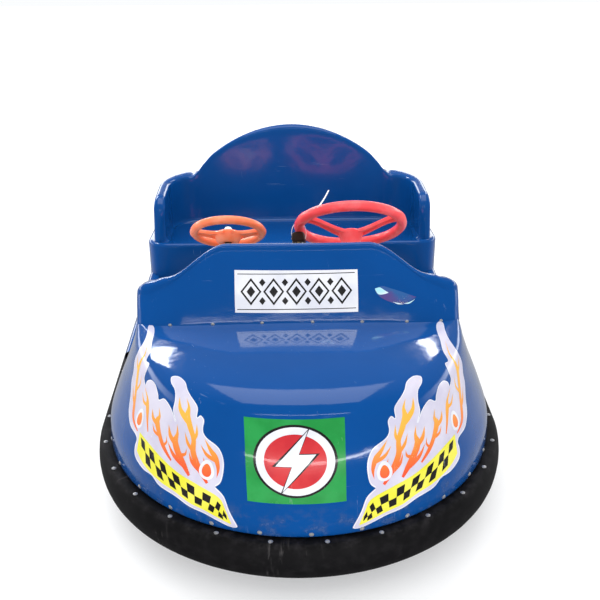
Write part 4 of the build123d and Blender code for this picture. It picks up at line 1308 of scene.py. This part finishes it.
rows = []
for u, grow in ((-0.023, 0.6), (-0.0223, 0.87), (-0.018, 1.0), (0.018, 1.0), (0.0223, 0.87), (0.023, 0.6)):
    wide, thick = SWITCH_WIDE * grow, SWITCH_THICK * grow
    ring = [(wide * squared(cos(a)), u, thick * squared(sin(a))) for a in full_turn(20)]
    rows.append([switch_place @ Vector(p) for p in ring])
piece("start_switch", *solid(rows, footed=True), brown, "driver_wheel")
brass = bright_steel("brass", (0.75, 0.52, 0.2), 0.25)
screws = []
for u, v in ((-0.013, -0.009), (0.0, 0.007), (0.013, -0.007)):
    under = Matrix.Translation((0.0, u, -0.0165 + v * 0.05)) @ Matrix.Rotation(pi, 4, "X")
    screws.append(dome(switch_place @ under, 0.0042, 0.0026))
    outside = Matrix.Translation((0.0202, u, v * 0.6)) @ Matrix.Rotation(pi / 2, 4, "Y")
    screws.append(dome(switch_place @ outside, 0.0038, 0.0024))
piece("switch_screws", *gather(screws), brass, "driver_wheel")


def strap(path, width, thick):
    """A flat band along a path of (point, direction across the band)."""
    rows = []
    for i, (spot, across) in enumerate(path):
        before, after = path[max(i - 1, 0)][0], path[min(i + 1, len(path) - 1)][0]
        side = across.normalized() * width / 2
        up = (after - before).cross(across).normalized() * thick / 2
        rows.append([spot + side + up, spot - side + up, spot - side - up, spot + side - up])
    return solid(rows, footed=True)


along_rim = switch_place.to_3x3() @ Vector((0.0, 1.0, 0.0))
loop = []
for a in full_turn(36) + [2 * pi]:
    spot = Vector((-0.001 + 0.0235 * cos(a), 0.004, 0.0165 + 0.0375 * sin(a)))
    loop.append((switch_place @ spot, along_rim))
tie_parts = [strap(loop, 0.0036, 0.0012)]
TAIL_TURN = radians(59)     # how far the end runs along the rim before it stands away
tail = []
for i in range(13):
    turn = driver_place @ Matrix.Rotation(SWITCH_TURN + TAIL_TURN * i / 12, 4, "Z")
    inwards = turn.to_3x3() @ Vector((-1.0, 0.0, 0.0))
    tail.append((turn @ Vector((DRIVER_RIM_R, 0.0, 0.0172)), inwards))
tail_start = tail[-1][0]
tail_way = Vector((0.033, 0.098, 0.016))
for i in range(1, 13):
    share = i / 12
    sag = Vector((0.0, 0.0, -0.003 * sin(pi * share)))
    tail.append((tail_start + tail_way * share + sag, Vector((1.0, 0.0, -0.4))))
tie_parts.append(strap(tail, 0.0042, 0.0014))
piece("cable_tie", *gather(tie_parts), white, "driver_wheel", "white_plastic")

# ======== pedal ========
# A pressed steel treadle with a ribbed rubber pad, hinged on a base that is bolted to the floor.
dress(frame_paint, "pedal_base", "accelerator_pedal")
pedal_low, pedal_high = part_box("accelerator_pedal")
PEDAL_SLOPE = radians(38)
RIB_HALF, RIB_WIDE, RIB_PITCH = 0.03, 0.0042, 0.012
pedal_middle = (pedal_low + pedal_high) / 2
pedal_place = Matrix.Translation(pedal_middle) @ Matrix.Rotation(PEDAL_SLOPE, 4, "X")
ribs = []
for i in range(9):
    v = -0.044 + i * RIB_PITCH
    rows = []
    for inset, height in ((0.0, 0.004), (0.0006, 0.0062), (0.0022, 0.007)):
        u, w = RIB_HALF - inset, RIB_WIDE - inset
        ring = ((-u, -w), (u, -w), (u, w), (-u, w))
        rows.append([pedal_place @ Vector((x, v + y, height)) for x, y in ring])
    ribs.append(solid(rows))
piece("pedal_pad", *gather(ribs), tyre_black, slot="tyre_rubber")
base_low, base_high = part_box("pedal_base")
base_bolts = []
for x in (base_low.x + 0.012, base_high.x - 0.012):
    base_bolts.append(hex_bolt(facing((x, base_high.y - 0.012, base_high.z), (0, 0, 1)), 0.01, 0.006))
plated("pedal_bolts", base_bolts)

# ======== stickers ========
# Printed vinyl laid on the gelcoat: flames over a yellow band on both corners of the hood, a
# green square with a spark emblem on its nose, and two small ones on the cowl.


def vinyl(name, low, high, heights=None, sparkle=0.0):
    """Glossy printed vinyl that goes from low to high in colour, scuffed and with some glitter."""
    place = finish(name)
    if heights:
        share = place.axes()[2].mask(*heights) + place.noise(40.0, 2.0) * 0.2 - 0.1
    else:
        share = place.noise(14.0, 4.0).mask(0.35, 0.65)
    scratches = place.stretched(60.0, 60.0, 9.0).noise(1.0, 4.0, 0.65).mask(0.64, 0.7)
    scuffed = scratches * place.noise(8.0).mask(0.5, 0.62)
    specks = place.noise(420.0, 1.0).mask(0.66, 0.72)
    glitter = specks * place.noise(13.0, 2.0).mask(0.53, 0.66) * sparkle
    flecks = place.noise(90.0).mask(0.4, 0.6).blend((1.0, 0.25, 0.6), (1.0, 0.92, 0.35))
    tint = (scuffed * 0.35).blend(share.blend(low, high), (0.3, 0.33, 0.4))
    return surface(place, {
        "Base Color": glitter.blend(tint, flecks),
        "Roughness": scuffed * 0.3 + place.noise(30.0, 3.0) * 0.1 + 0.2,
        "Coat Weight": 0.55 - scuffed * 0.4,
        "Coat Roughness": 0.06,
        "Normal": (place.noise(55.0, 3.0) - scuffed * 0.4).bumps(0.0006, 0.3),
    })


vinyl_white = vinyl("vinyl_white", (0.72, 0.73, 0.8), (0.83, 0.83, 0.86))
vinyl_lilac = vinyl("vinyl_lilac", (0.58, 0.55, 0.68), (0.66, 0.63, 0.74), sparkle=0.8)
vinyl_flame = vinyl("vinyl_flame", (0.84, 0.09, 0.03), (0.92, 0.47, 0.06), (0.3, 0.47), sparkle=0.7)
vinyl_yellow = vinyl("vinyl_yellow", (0.79, 0.74, 0.04), (0.86, 0.8, 0.1))
vinyl_black = vinyl("vinyl_black", (0.012, 0.011, 0.012), (0.022, 0.02, 0.02))
vinyl_green = vinyl("vinyl_green", (0.012, 0.27, 0.05), (0.02, 0.33, 0.07))
vinyl_red = vinyl("vinyl_red", (0.55, 0.02, 0.03), (0.64, 0.035, 0.04))


def rounded(points):
    """A closed smooth line through points. A point given twice stays a sharp corner."""
    line = []
    for i in range(len(points)):
        four = [points[(i + k) % len(points)] for k in (-1, 0, 1, 2)]
        line += [Vector(between(four, (1 + j / 6) / 3)) for j in range(6)]
    return [p for i, p in enumerate(line) if (p - line[i - 1]).length > 0.02]


def tongue(line):
    """The outline of a flame that follows (u, v, half_width) points."""
    count = 7 * (len(line) - 1)
    path = [Vector(between(line, i / count)) for i in range(count + 1)]
    left, right = [], []
    for i, p in enumerate(path):
        along = path[min(i + 1, count)] - path[max(i - 1, 0)]
        side = Vector((-along.y, along.x)).normalized() * max(p.z, 0.03)
        left.append(p.xy + side)
        right.append(p.xy - side)
    return left + right[::-1]


def shrunk(line, margin):
    """A closed line moved inwards by a margin. Tips too narrow for it are left out."""
    area = sum(p.x * line[i - 1].y - p.y * line[i - 1].x for i, p in enumerate(line))
    moved = []
    for i, p in enumerate(line):
        along = line[(i + 1) % len(line)] - line[i - 1]
        inwards = Vector((along.y, -along.x)).normalized() * (margin if area > 0 else -margin)
        if min((p + inwards - q).length for q in line) > margin * 0.96:
            moved.append(p + inwards)
    return moved


def holds(line, p):
    """Whether a closed line goes round a point."""
    crossings = 0
    for i, b in enumerate(line):
        a = line[i - 1]
        if (a.y > p.y) != (b.y > p.y) and p.x < a.x + (b.x - a.x) * (p.y - a.y) / (b.y - a.y):
            crossings += 1
    return crossings % 2 == 1


BACKING, FILM = 0.0003, 0.0002      # height of the lowest film over the gelcoat, and of each more
GRID = 0.9              # pitch of the points inside a film, in its own units


def decal(name, lines, laid, level, material):
    """A film inside closed lines, on `level` others, bent over what laid(u, v, lift) gives."""
    lift = BACKING + FILM * level
    sheets = []
    for line in lines:
        low_u, high_u = min(p.x for p in line), max(p.x for p in line)
        low_v, high_v = min(p.y for p in line), max(p.y for p in line)
        flat = list(line)
        for i in range(int((high_u - low_u) / GRID) + 1):
            for j in range(int((high_v - low_v) / GRID) + 1):
                spot = Vector((low_u + (i + 0.5) * GRID, low_v + (j + 0.5) * GRID))
                if holds(line, spot) and min((spot - q).length for q in line) > GRID * 0.35:
                    flat.append(spot)
        found, _, faces, *_ = delaunay_2d_cdt(flat, [], [list(range(len(line)))], 1, 1e-5)
        sheets.append(([laid(p.x, p.y, lift) for p in found], [tuple(f) for f in faces]))
    return piece(name, *gather(sheets), material)


def on_nose(angle, percent, lift):
    """A place over the hood, from degrees round its nose and percent of the way up."""
    turn, rise = angle / 90 * NOSE_SHARE, percent / 100
    return hood_point(turn, rise) + hood_normal(turn, rise) * lift


FLAME_STICKER = rounded([
    (12.6, 10.4), (12.6, 12.4), (14.6, 17.5), (16.2, 21.2), (19.0, 23.2), (19.0, 23.2), (17.4, 25.2),
    (17.2, 30.5), (19.2, 34.4), (23.6, 36.6), (25.0, 38.6), (25.0, 41.6), (26.4, 42.9), (27.6, 42.0),
    (27.9, 45.4), (31.0, 48.6), (32.6, 50.6), (34.0, 53.4), (37.2, 54.8), (40.2, 53.6), (40.0, 51.0),
    (37.8, 48.6), (37.0, 45.0), (37.0, 41.2), (35.2, 38.0), (35.2, 38.0), (38.0, 41.6), (41.6, 43.7),
    (44.2, 42.2), (45.2, 44.0), (47.6, 46.8), (50.4, 47.5), (52.8, 45.8), (53.2, 43.6), (53.2, 43.6),
    (55.2, 46.0), (54.6, 50.5), (53.9, 54.2), (56.4, 54.6), (55.0, 61.0), (55.6, 67.5), (55.6, 74.5),
    (57.0, 80.5), (59.8, 83.2), (61.8, 80.0), (61.2, 72.0), (62.2, 64.0), (65.8, 53.0), (67.4, 47.0),
    (65.2, 42.0), (64.4, 38.4), (61.4, 34.2), (59.0, 29.8), (55.6, 27.0), (51.6, 26.2), (50.0, 25.2),
    (50.0, 23.0), (48.6, 20.6), (44.0, 19.0), (40.0, 18.9), (36.8, 17.1), (31.0, 16.3), (26.4, 14.6),
    (21.6, 13.8), (17.8, 12.0), (14.4, 10.0),
])
BAND_TOP = [(14.0, 12.4), (15.6, 17.4), (17.6, 20.6), (24.0, 22.4)]
BAND_TOP += [(31.0, 23.6), (38.0, 25.4), (44.0, 27.0), (49.4, 28.0)]
BAND_FOOT = [(14.0, 11.8), (17.6, 13.6), (21.6, 15.2), (26.4, 16.1)]
BAND_FOOT += [(31.0, 17.8), (36.8, 18.7), (43.8, 20.4), (48.4, 22.4)]
# Each flame is (angle, percent up, half width) from its root to its tip.
FLAMES = [
    [(21.4, 23.6, 0.4), (24.4, 27.0, 0.85), (27.0, 31.0, 0.95), (27.6, 34.8, 0.8),
     (29.6, 38.4, 1.0), (31.0, 41.6, 1.0), (31.0, 44.4, 0.5), (32.3, 47.2, 0.0)],
    [(29.8, 38.6, 0.5), (32.4, 41.0, 1.0), (34.4, 43.2, 0.7), (35.2, 46.8, 0.0)],
    [(27.8, 34.0, 0.5), (26.9, 36.6, 0.5), (27.3, 39.8, 0.0)],
    [(26.8, 31.0, 0.5), (29.4, 33.2, 0.5), (31.0, 36.0, 0.0)],
    [(23.8, 26.6, 0.6), (22.9, 28.6, 0.4), (23.6, 30.6, 0.0)],
    [(24.2, 26.4, 0.6), (27.0, 28.2, 0.5), (28.4, 30.8, 0.0)],
    [(27.2, 24.0, 0.4), (29.4, 26.4, 0.9), (32.0, 29.2, 1.1), (33.8, 32.0, 1.1), (33.6, 34.6, 0.5),
     (34.4, 37.4, 0.0)],
    [(33.0, 31.0, 0.7), (36.0, 33.0, 0.7), (37.6, 36.0, 0.0)],
    [(31.6, 28.6, 0.6), (29.6, 29.6, 0.4), (29.4, 31.4, 0.0)],
    [(29.6, 26.2, 0.7), (33.6, 28.0, 0.6), (36.6, 31.0, 0.0)],
    [(34.0, 26.0, 0.3), (37.8, 28.8, 0.7), (40.4, 31.6, 0.8), (42.6, 34.8, 1.1), (42.2, 37.0, 0.5),
     (43.2, 39.6, 0.0)],
    [(42.2, 34.0, 0.7), (45.0, 35.2, 0.6), (46.2, 37.8, 0.0)],
    [(38.2, 28.8, 0.5), (37.0, 30.6, 0.3), (37.6, 32.4, 0.0)],
    [(40.2, 31.2, 0.5), (42.8, 31.6, 0.4), (44.4, 33.4, 0.0)],
    [(45.6, 30.0, 0.2), (47.4, 33.4, 0.5), (49.2, 37.4, 0.9), (50.2, 39.8, 0.5), (53.4, 43.0, 0.0)],
    [(49.2, 37.4, 0.6), (51.8, 37.6, 0.5), (54.0, 40.2, 0.0)],
    [(50.6, 27.6, 0.2), (54.6, 29.6, 0.6), (56.6, 33.0, 0.8), (58.4, 37.4, 0.8), (60.0, 42.0, 0.9),
     (61.4, 47.2, 1.0), (60.4, 52.0, 0.6), (58.4, 57.5, 0.4), (58.6, 66.0, 0.0)],
    [(60.6, 45.0, 0.6), (63.6, 47.6, 0.5), (64.8, 51.5, 0.0)],
    [(57.0, 33.6, 0.5), (59.4, 35.4, 0.4), (61.6, 38.6, 0.0)],
    [(58.6, 38.0, 0.5), (57.0, 41.6, 0.4), (57.6, 45.6, 0.0)],
    [(18.8, 25.8, 0.0), (18.7, 28.6, 0.5), (19.8, 31.4, 0.8), (21.6, 33.2, 0.6), (24.0, 36.0, 0.0)],
    [(19.6, 30.6, 0.6), (22.6, 31.6, 0.5), (25.0, 34.0, 0.0)],
]
DROPS = ((22.0, 27.4, 2.3, 2.9), (51.2, 31.8, 2.1, 3.3))
CHECKS = 15             # checks in a row


def drop(u, v, half_u, half_v):
    """A flame's round drop, pointed a little at its top."""
    spots = [(cos(a) * (1 - 0.22 * sin(a)), sin(a)) for a in full_turn(28)]
    return [Vector((u + half_u * x, v + half_v * y)) for x, y in spots]


def checks():
    """Two rows of slanting racing checks that follow the yellow band."""
    found = []
    for i in range(CHECKS):
        row = (i + 1) % 2
        corners = []
        for du, dv in ((0, row), (1, row), (1, row + 1), (0, row + 1)):
            share = (0.07 + 0.86 * (i + du) / CHECKS) + 0.028 * (dv - 1)
            foot, top = Vector(between(BAND_FOOT, share)), Vector(between(BAND_TOP, share))
            corners.append(foot.lerp(top, 0.16 + 0.34 * dv))
        found.append(corners)
    return found


band = [Vector(between(BAND_FOOT, i / 40)) for i in range(41)]
band += [Vector(between(BAND_TOP, 1 - i / 40)) for i in range(40)]
rings = [drop(*d) for d in DROPS]
cores = [drop(u, v - 0.2, a * 0.62, b * 0.66) for u, v, a, b in DROPS]
for side in ("left", "right"):
    def laid(u, v, lift, side=side):
        """A place over one corner of the hood. The right sticker sits 5 degrees further round."""
        return on_nose(u if side == "left" else -(u + 5), v - 1.3, lift)
    decal("flame_sticker_" + side, [FLAME_STICKER], laid, 0, vinyl_white)
    decal("flame_field_" + side, [shrunk(FLAME_STICKER, 0.35)], laid, 1, vinyl_lilac)
    decal("flame_band_" + side, [band], laid, 2, vinyl_yellow)
    decal("flame_checks_" + side, checks(), laid, 3, vinyl_black)
    decal("flames_" + side, [tongue(f) for f in FLAMES], laid, 2, vinyl_flame)
    decal("flame_rings_" + side, rings, laid, 3, vinyl_white)
    decal("flame_drops_" + side, cores, laid, 4, vinyl_flame)


SQUARE_HALF = 13.0      # half the green square's width, in centimetres
SQUARE_ANGLE, SQUARE_PERCENT = -2.45, 31.6     # its middle, as on_nose takes it


def on_square(u, v, lift):
    """A place over the nose, in centimetres from the middle of the green square."""
    rise = v / 12.6
    angle = SQUARE_ANGLE - 0.45 * rise + (13.75 + 0.95 * rise) * u / SQUARE_HALF
    return on_nose(angle, SQUARE_PERCENT + 12.0 * rise + 0.5 * rise * rise, lift)


def disc(radius):
    """A circle about the square's middle."""
    return [Vector((radius * cos(a), radius * sin(a))) for a in full_turn(64)]


def straight(corners):
    """A closed line of straight sides between corners, with points along them."""
    line = []
    for i, corner in enumerate(corners):
        a, b = Vector(corner), Vector(corners[(i + 1) % len(corners)])
        steps = max(1, round((b - a).length / 0.8))
        line += [a.lerp(b, j / steps) for j in range(steps)]
    return line


SPARK = [(3.4, 9.2), (-5.2, -1.4), (-0.9, -1.4), (-3.6, -9.2), (5.4, 2.2), (0.9, 2.2)]
corners = ((-SQUARE_HALF, -12.8), (SQUARE_HALF, -12.8), (SQUARE_HALF, 12.4), (-SQUARE_HALF, 12.4))
square = straight(corners)
spark_edge = straight([(x * 1.17, y * 1.1) for x, y in SPARK])
decal("emblem_square", [square], on_square, 0, vinyl_green)
decal("emblem_edge", [disc(10.9)], on_square, 1, vinyl_black)
decal("emblem_ring", [disc(10.2)], on_square, 2, vinyl_white)
decal("emblem_disc", [disc(8.1)], on_square, 3, vinyl_red)
decal("emblem_spark_edge", [spark_edge], on_square, 4, vinyl_black)
decal("emblem_spark", [straight(SPARK)], on_square, 5, vinyl_white)


def on_cowl(u, v, lift):
    """A place over the cowl's front, in centimetres across and up."""
    def face(x, z):
        """The cowl's own front there."""
        turn = turn_at(x, COWL_WIDEST)
        spot, out = cowl_plan(turn, z)
        foot = hood_point(turn, 1.0).z - LAP_REACH + LAP_FLAT
        top = cowl_top(spot.x, spot.y) - COWL_LIP
        return spot + out * COWL_LAP * (1 - (z - foot) / (top - foot))
    x, z = u / 100, v / 100
    across = face(x + 0.002, z) - face(x - 0.002, z)
    up = face(x, z + 0.002) - face(x, z - 0.002)
    return face(x, z) + across.cross(up).normalized() * lift


def diamond(u, v, half_u, half_v):
    """A closed line round a diamond."""
    return straight([(u - half_u, v), (u, v - half_v), (u + half_u, v), (u, v + half_v)])


cowl_patch = straight([(-17.6, 55.4), (16.4, 55.2), (16.6, 64.8), (-17.8, 65.0)])
ROW_HIGH, ROW_PITCH = 60.1, 6.3     # the row of diamonds along the sticker
marks, gaps, hearts = [], [], []
for i in range(5):
    u = -13.2 + ROW_PITCH * i
    marks.append(diamond(u, ROW_HIGH, 2.9, 3.1))
    gaps.append(diamond(u, ROW_HIGH, 2.3, 2.4))
    hearts.append(diamond(u, ROW_HIGH, 1.2, 1.3))
    if i < 4:
        marks += [diamond(u + ROW_PITCH / 2, ROW_HIGH + v, 0.9, 0.9) for v in (-2.1, 2.1)]
for v in (56.1, 64.1):
    low_v, high_v = v - 0.09, v + 0.09
    marks.append(straight([(-17.0, low_v), (15.8, low_v), (15.8, high_v), (-17.0, high_v)]))
decal("cowl_sticker", [cowl_patch], on_cowl, 1, vinyl_white)
decal("cowl_sticker_marks", marks, on_cowl, 2, vinyl_black)
decal("cowl_sticker_gaps", gaps, on_cowl, 3, vinyl_white)
decal("cowl_sticker_hearts", hearts, on_cowl, 4, vinyl_black)

# A small foil leaf is stuck on the driver's side of the cowl. The pale silver-cyan streaks over it are
# painted highlights, where its foil catches the light.
vinyl_leaf = vinyl("vinyl_leaf", (0.02, 0.11, 0.33), (0.09, 0.06, 0.25), sparkle=1.0)
# painted highlight: a pale silver-cyan film that stands in for glints of light on the leaf
vinyl_painted_glint = vinyl("vinyl_painted_glint", (0.35, 0.75, 0.85), (0.75, 0.85, 0.92))
LEAF = [(21.2, 60.0, 0.0), (22.8, 59.6, 1.2), (25.6, 58.6, 1.5), (29.2, 57.7, 1.3), (32.8, 57.8, 0.0)]
GLINTS = [
    [(21.3, 60.2, 0.1), (22.4, 59.7, 0.8), (24.0, 59.3, 0.4), (25.0, 59.2, 0.0)],
    [(26.2, 57.0, 0.0), (27.6, 56.6, 0.14), (29.0, 56.4, 0.0)],
    [(29.2, 56.5, 0.0), (30.8, 56.6, 0.16), (32.4, 57.3, 0.0)],
]
decal("cowl_leaf", [tongue(LEAF)], on_cowl, 1, vinyl_leaf)
decal("cowl_leaf_glints", [tongue(g) for g in GLINTS], on_cowl, 2, vinyl_painted_glint)

# ======== studio ========
# A plain pale floor, a pale surround and wide soft lamps, with the camera at standing height.


def pale_floor():
    """Matt pale paper with a very faint mottle."""
    place = finish("studio_floor")
    mottle = place.noise(2.0, 3.0)
    return surface(place, {
        "Base Color": mottle.blend((0.58, 0.58, 0.585), (0.61, 0.61, 0.61)),
        "Roughness": 0.9,
        "Emission Color": mottle.blend((0.4, 0.4, 0.405), (0.42, 0.42, 0.42)),
        "Emission Strength": 1.0,
    })


floor_points = [(-9.0, -7.0, 0.0), (9.0, -7.0, 0.0), (9.0, 11.0, 0.0), (-9.0, 11.0, 0.0)]
studio_floor = piece("studio_floor", floor_points, [(0, 1, 2, 3)], pale_floor())
studio_floor.parent = None
studio_floor.visible_glossy = False

world = bpy.data.worlds.new("studio")
world.use_nodes = True
world.node_tree.nodes.clear()
sky = Tone(world, world.node_tree.nodes.new("ShaderNodeTexCoord").outputs["Generated"])
seen = sky.node("ShaderNodeLightPath", out=0)
mirrored = sky.node("ShaderNodeLightPath", out=3)
behind_car = sky.axes()[1].mask(-0.2, 0.6)
height = sky.axes()[2]
doorway = height.mask(0.03, 0.08) * height.mask(0.27, 0.2) * 2.6
walls = 0.14 + height.mask(0.25, -0.05) * 0.2 + height.mask(-0.15, -0.4) * 0.1 + doorway
level = mirrored * (behind_car * walls + 0.03) + (1 - mirrored) * 1.25
backdrop = sky.node("ShaderNodeBackground", None, {
    "Color": (0.97, 0.985, 1.0),
    "Strength": seen + (1 - seen) * level,
})
sky.node("ShaderNodeOutputWorld", None, {"Surface": backdrop})
bpy.context.scene.world = world


def lamp(name, place, target, width, height, power):
    """A soft rectangular lamp at a place, turned to a target."""
    data = bpy.data.lights.new(name, "AREA")
    data.shape, data.size, data.size_y = "RECTANGLE", width, height
    data.energy = power
    made = bpy.data.objects.new(name, data)
    bpy.context.scene.collection.objects.link(made)
    made.location = place
    made.rotation_euler = (Vector(target) - Vector(place)).to_track_quat("-Z", "Y").to_euler()
    made.visible_camera = False
    return made


def window(name, corners, faces):
    """A bright window behind the car, that only shows as a reflection in the gelcoat."""
    place = finish(name)
    mottle = place.noise(3.0, 2.0)
    bright = surface(place, {
        "Base Color": mottle.blend((0.8, 0.8, 0.8), (0.85, 0.85, 0.85)),
        "Emission Color": mottle.blend((0.9, 0.95, 1.0), (1.0, 1.0, 1.0)),
        "Emission Strength": 14.0,
    })
    made = piece(name, corners, faces, bright)
    made.parent = None
    made.visible_camera = made.visible_diffuse = made.visible_shadow = False
    return made


left_edges = [(-1.6, 2.7, 2.5), (-1.2, 2.85, 2.4), (-2.0, 2.15, 2.85), (-2.6, 1.95, 2.3)]
window("left_pane", left_edges, [(0, 1, 2, 3)])
right_edges = [(1.12, 3.06, 2.1), (1.31, 2.87, 2.31), (1.58, 2.64, 2.5), (1.88, 2.38, 2.66)]
right_edges += [(2.03, 2.37, 2.57), (1.7, 2.63, 2.44), (1.42, 2.85, 2.29), (1.24, 3.03, 2.12)]
window("right_pane", right_edges, [(i, i + 1, 6 - i, 7 - i) for i in range(3)])
lamp("ceiling_lamp", (0.0, 0.4, 3.6), (0.0, 0.0, 0.3), 3.2, 2.4, 30.0)
left_lamp = lamp("left_window", (-2.6, 3.2, 2.3), (-0.3, -0.6, 0.5), 3.4, 1.9, 150.0)
right_lamp = lamp("right_window", (2.55, 3.2, 2.95), (0.35, -0.55, 0.5), 0.95, 0.9, 30.0)
left_lamp.visible_glossy = right_lamp.visible_glossy = False
lamp("front_tube", (0.0, -2.1, 2.37), (0.0, -0.45, 0.57), 2.4, 0.03, 2.0)
lamp("floor_strip", (0.15, -1.75, 0.04), (0.1, -0.9, 0.4), 1.9, 0.03, 2.2)

camera_data = bpy.data.cameras.new("camera")
camera_data.lens = 54.7
camera_data.sensor_width = 36.0
camera = bpy.data.objects.new("camera", camera_data)
bpy.context.scene.collection.objects.link(camera)
camera.location = (-0.052, -2.718, 1.636)
camera.rotation_euler = (radians(65.25), radians(0.23), radians(-1.494))
bpy.context.scene.camera = camera
bpy.context.scene.view_settings.view_transform = "Standard"
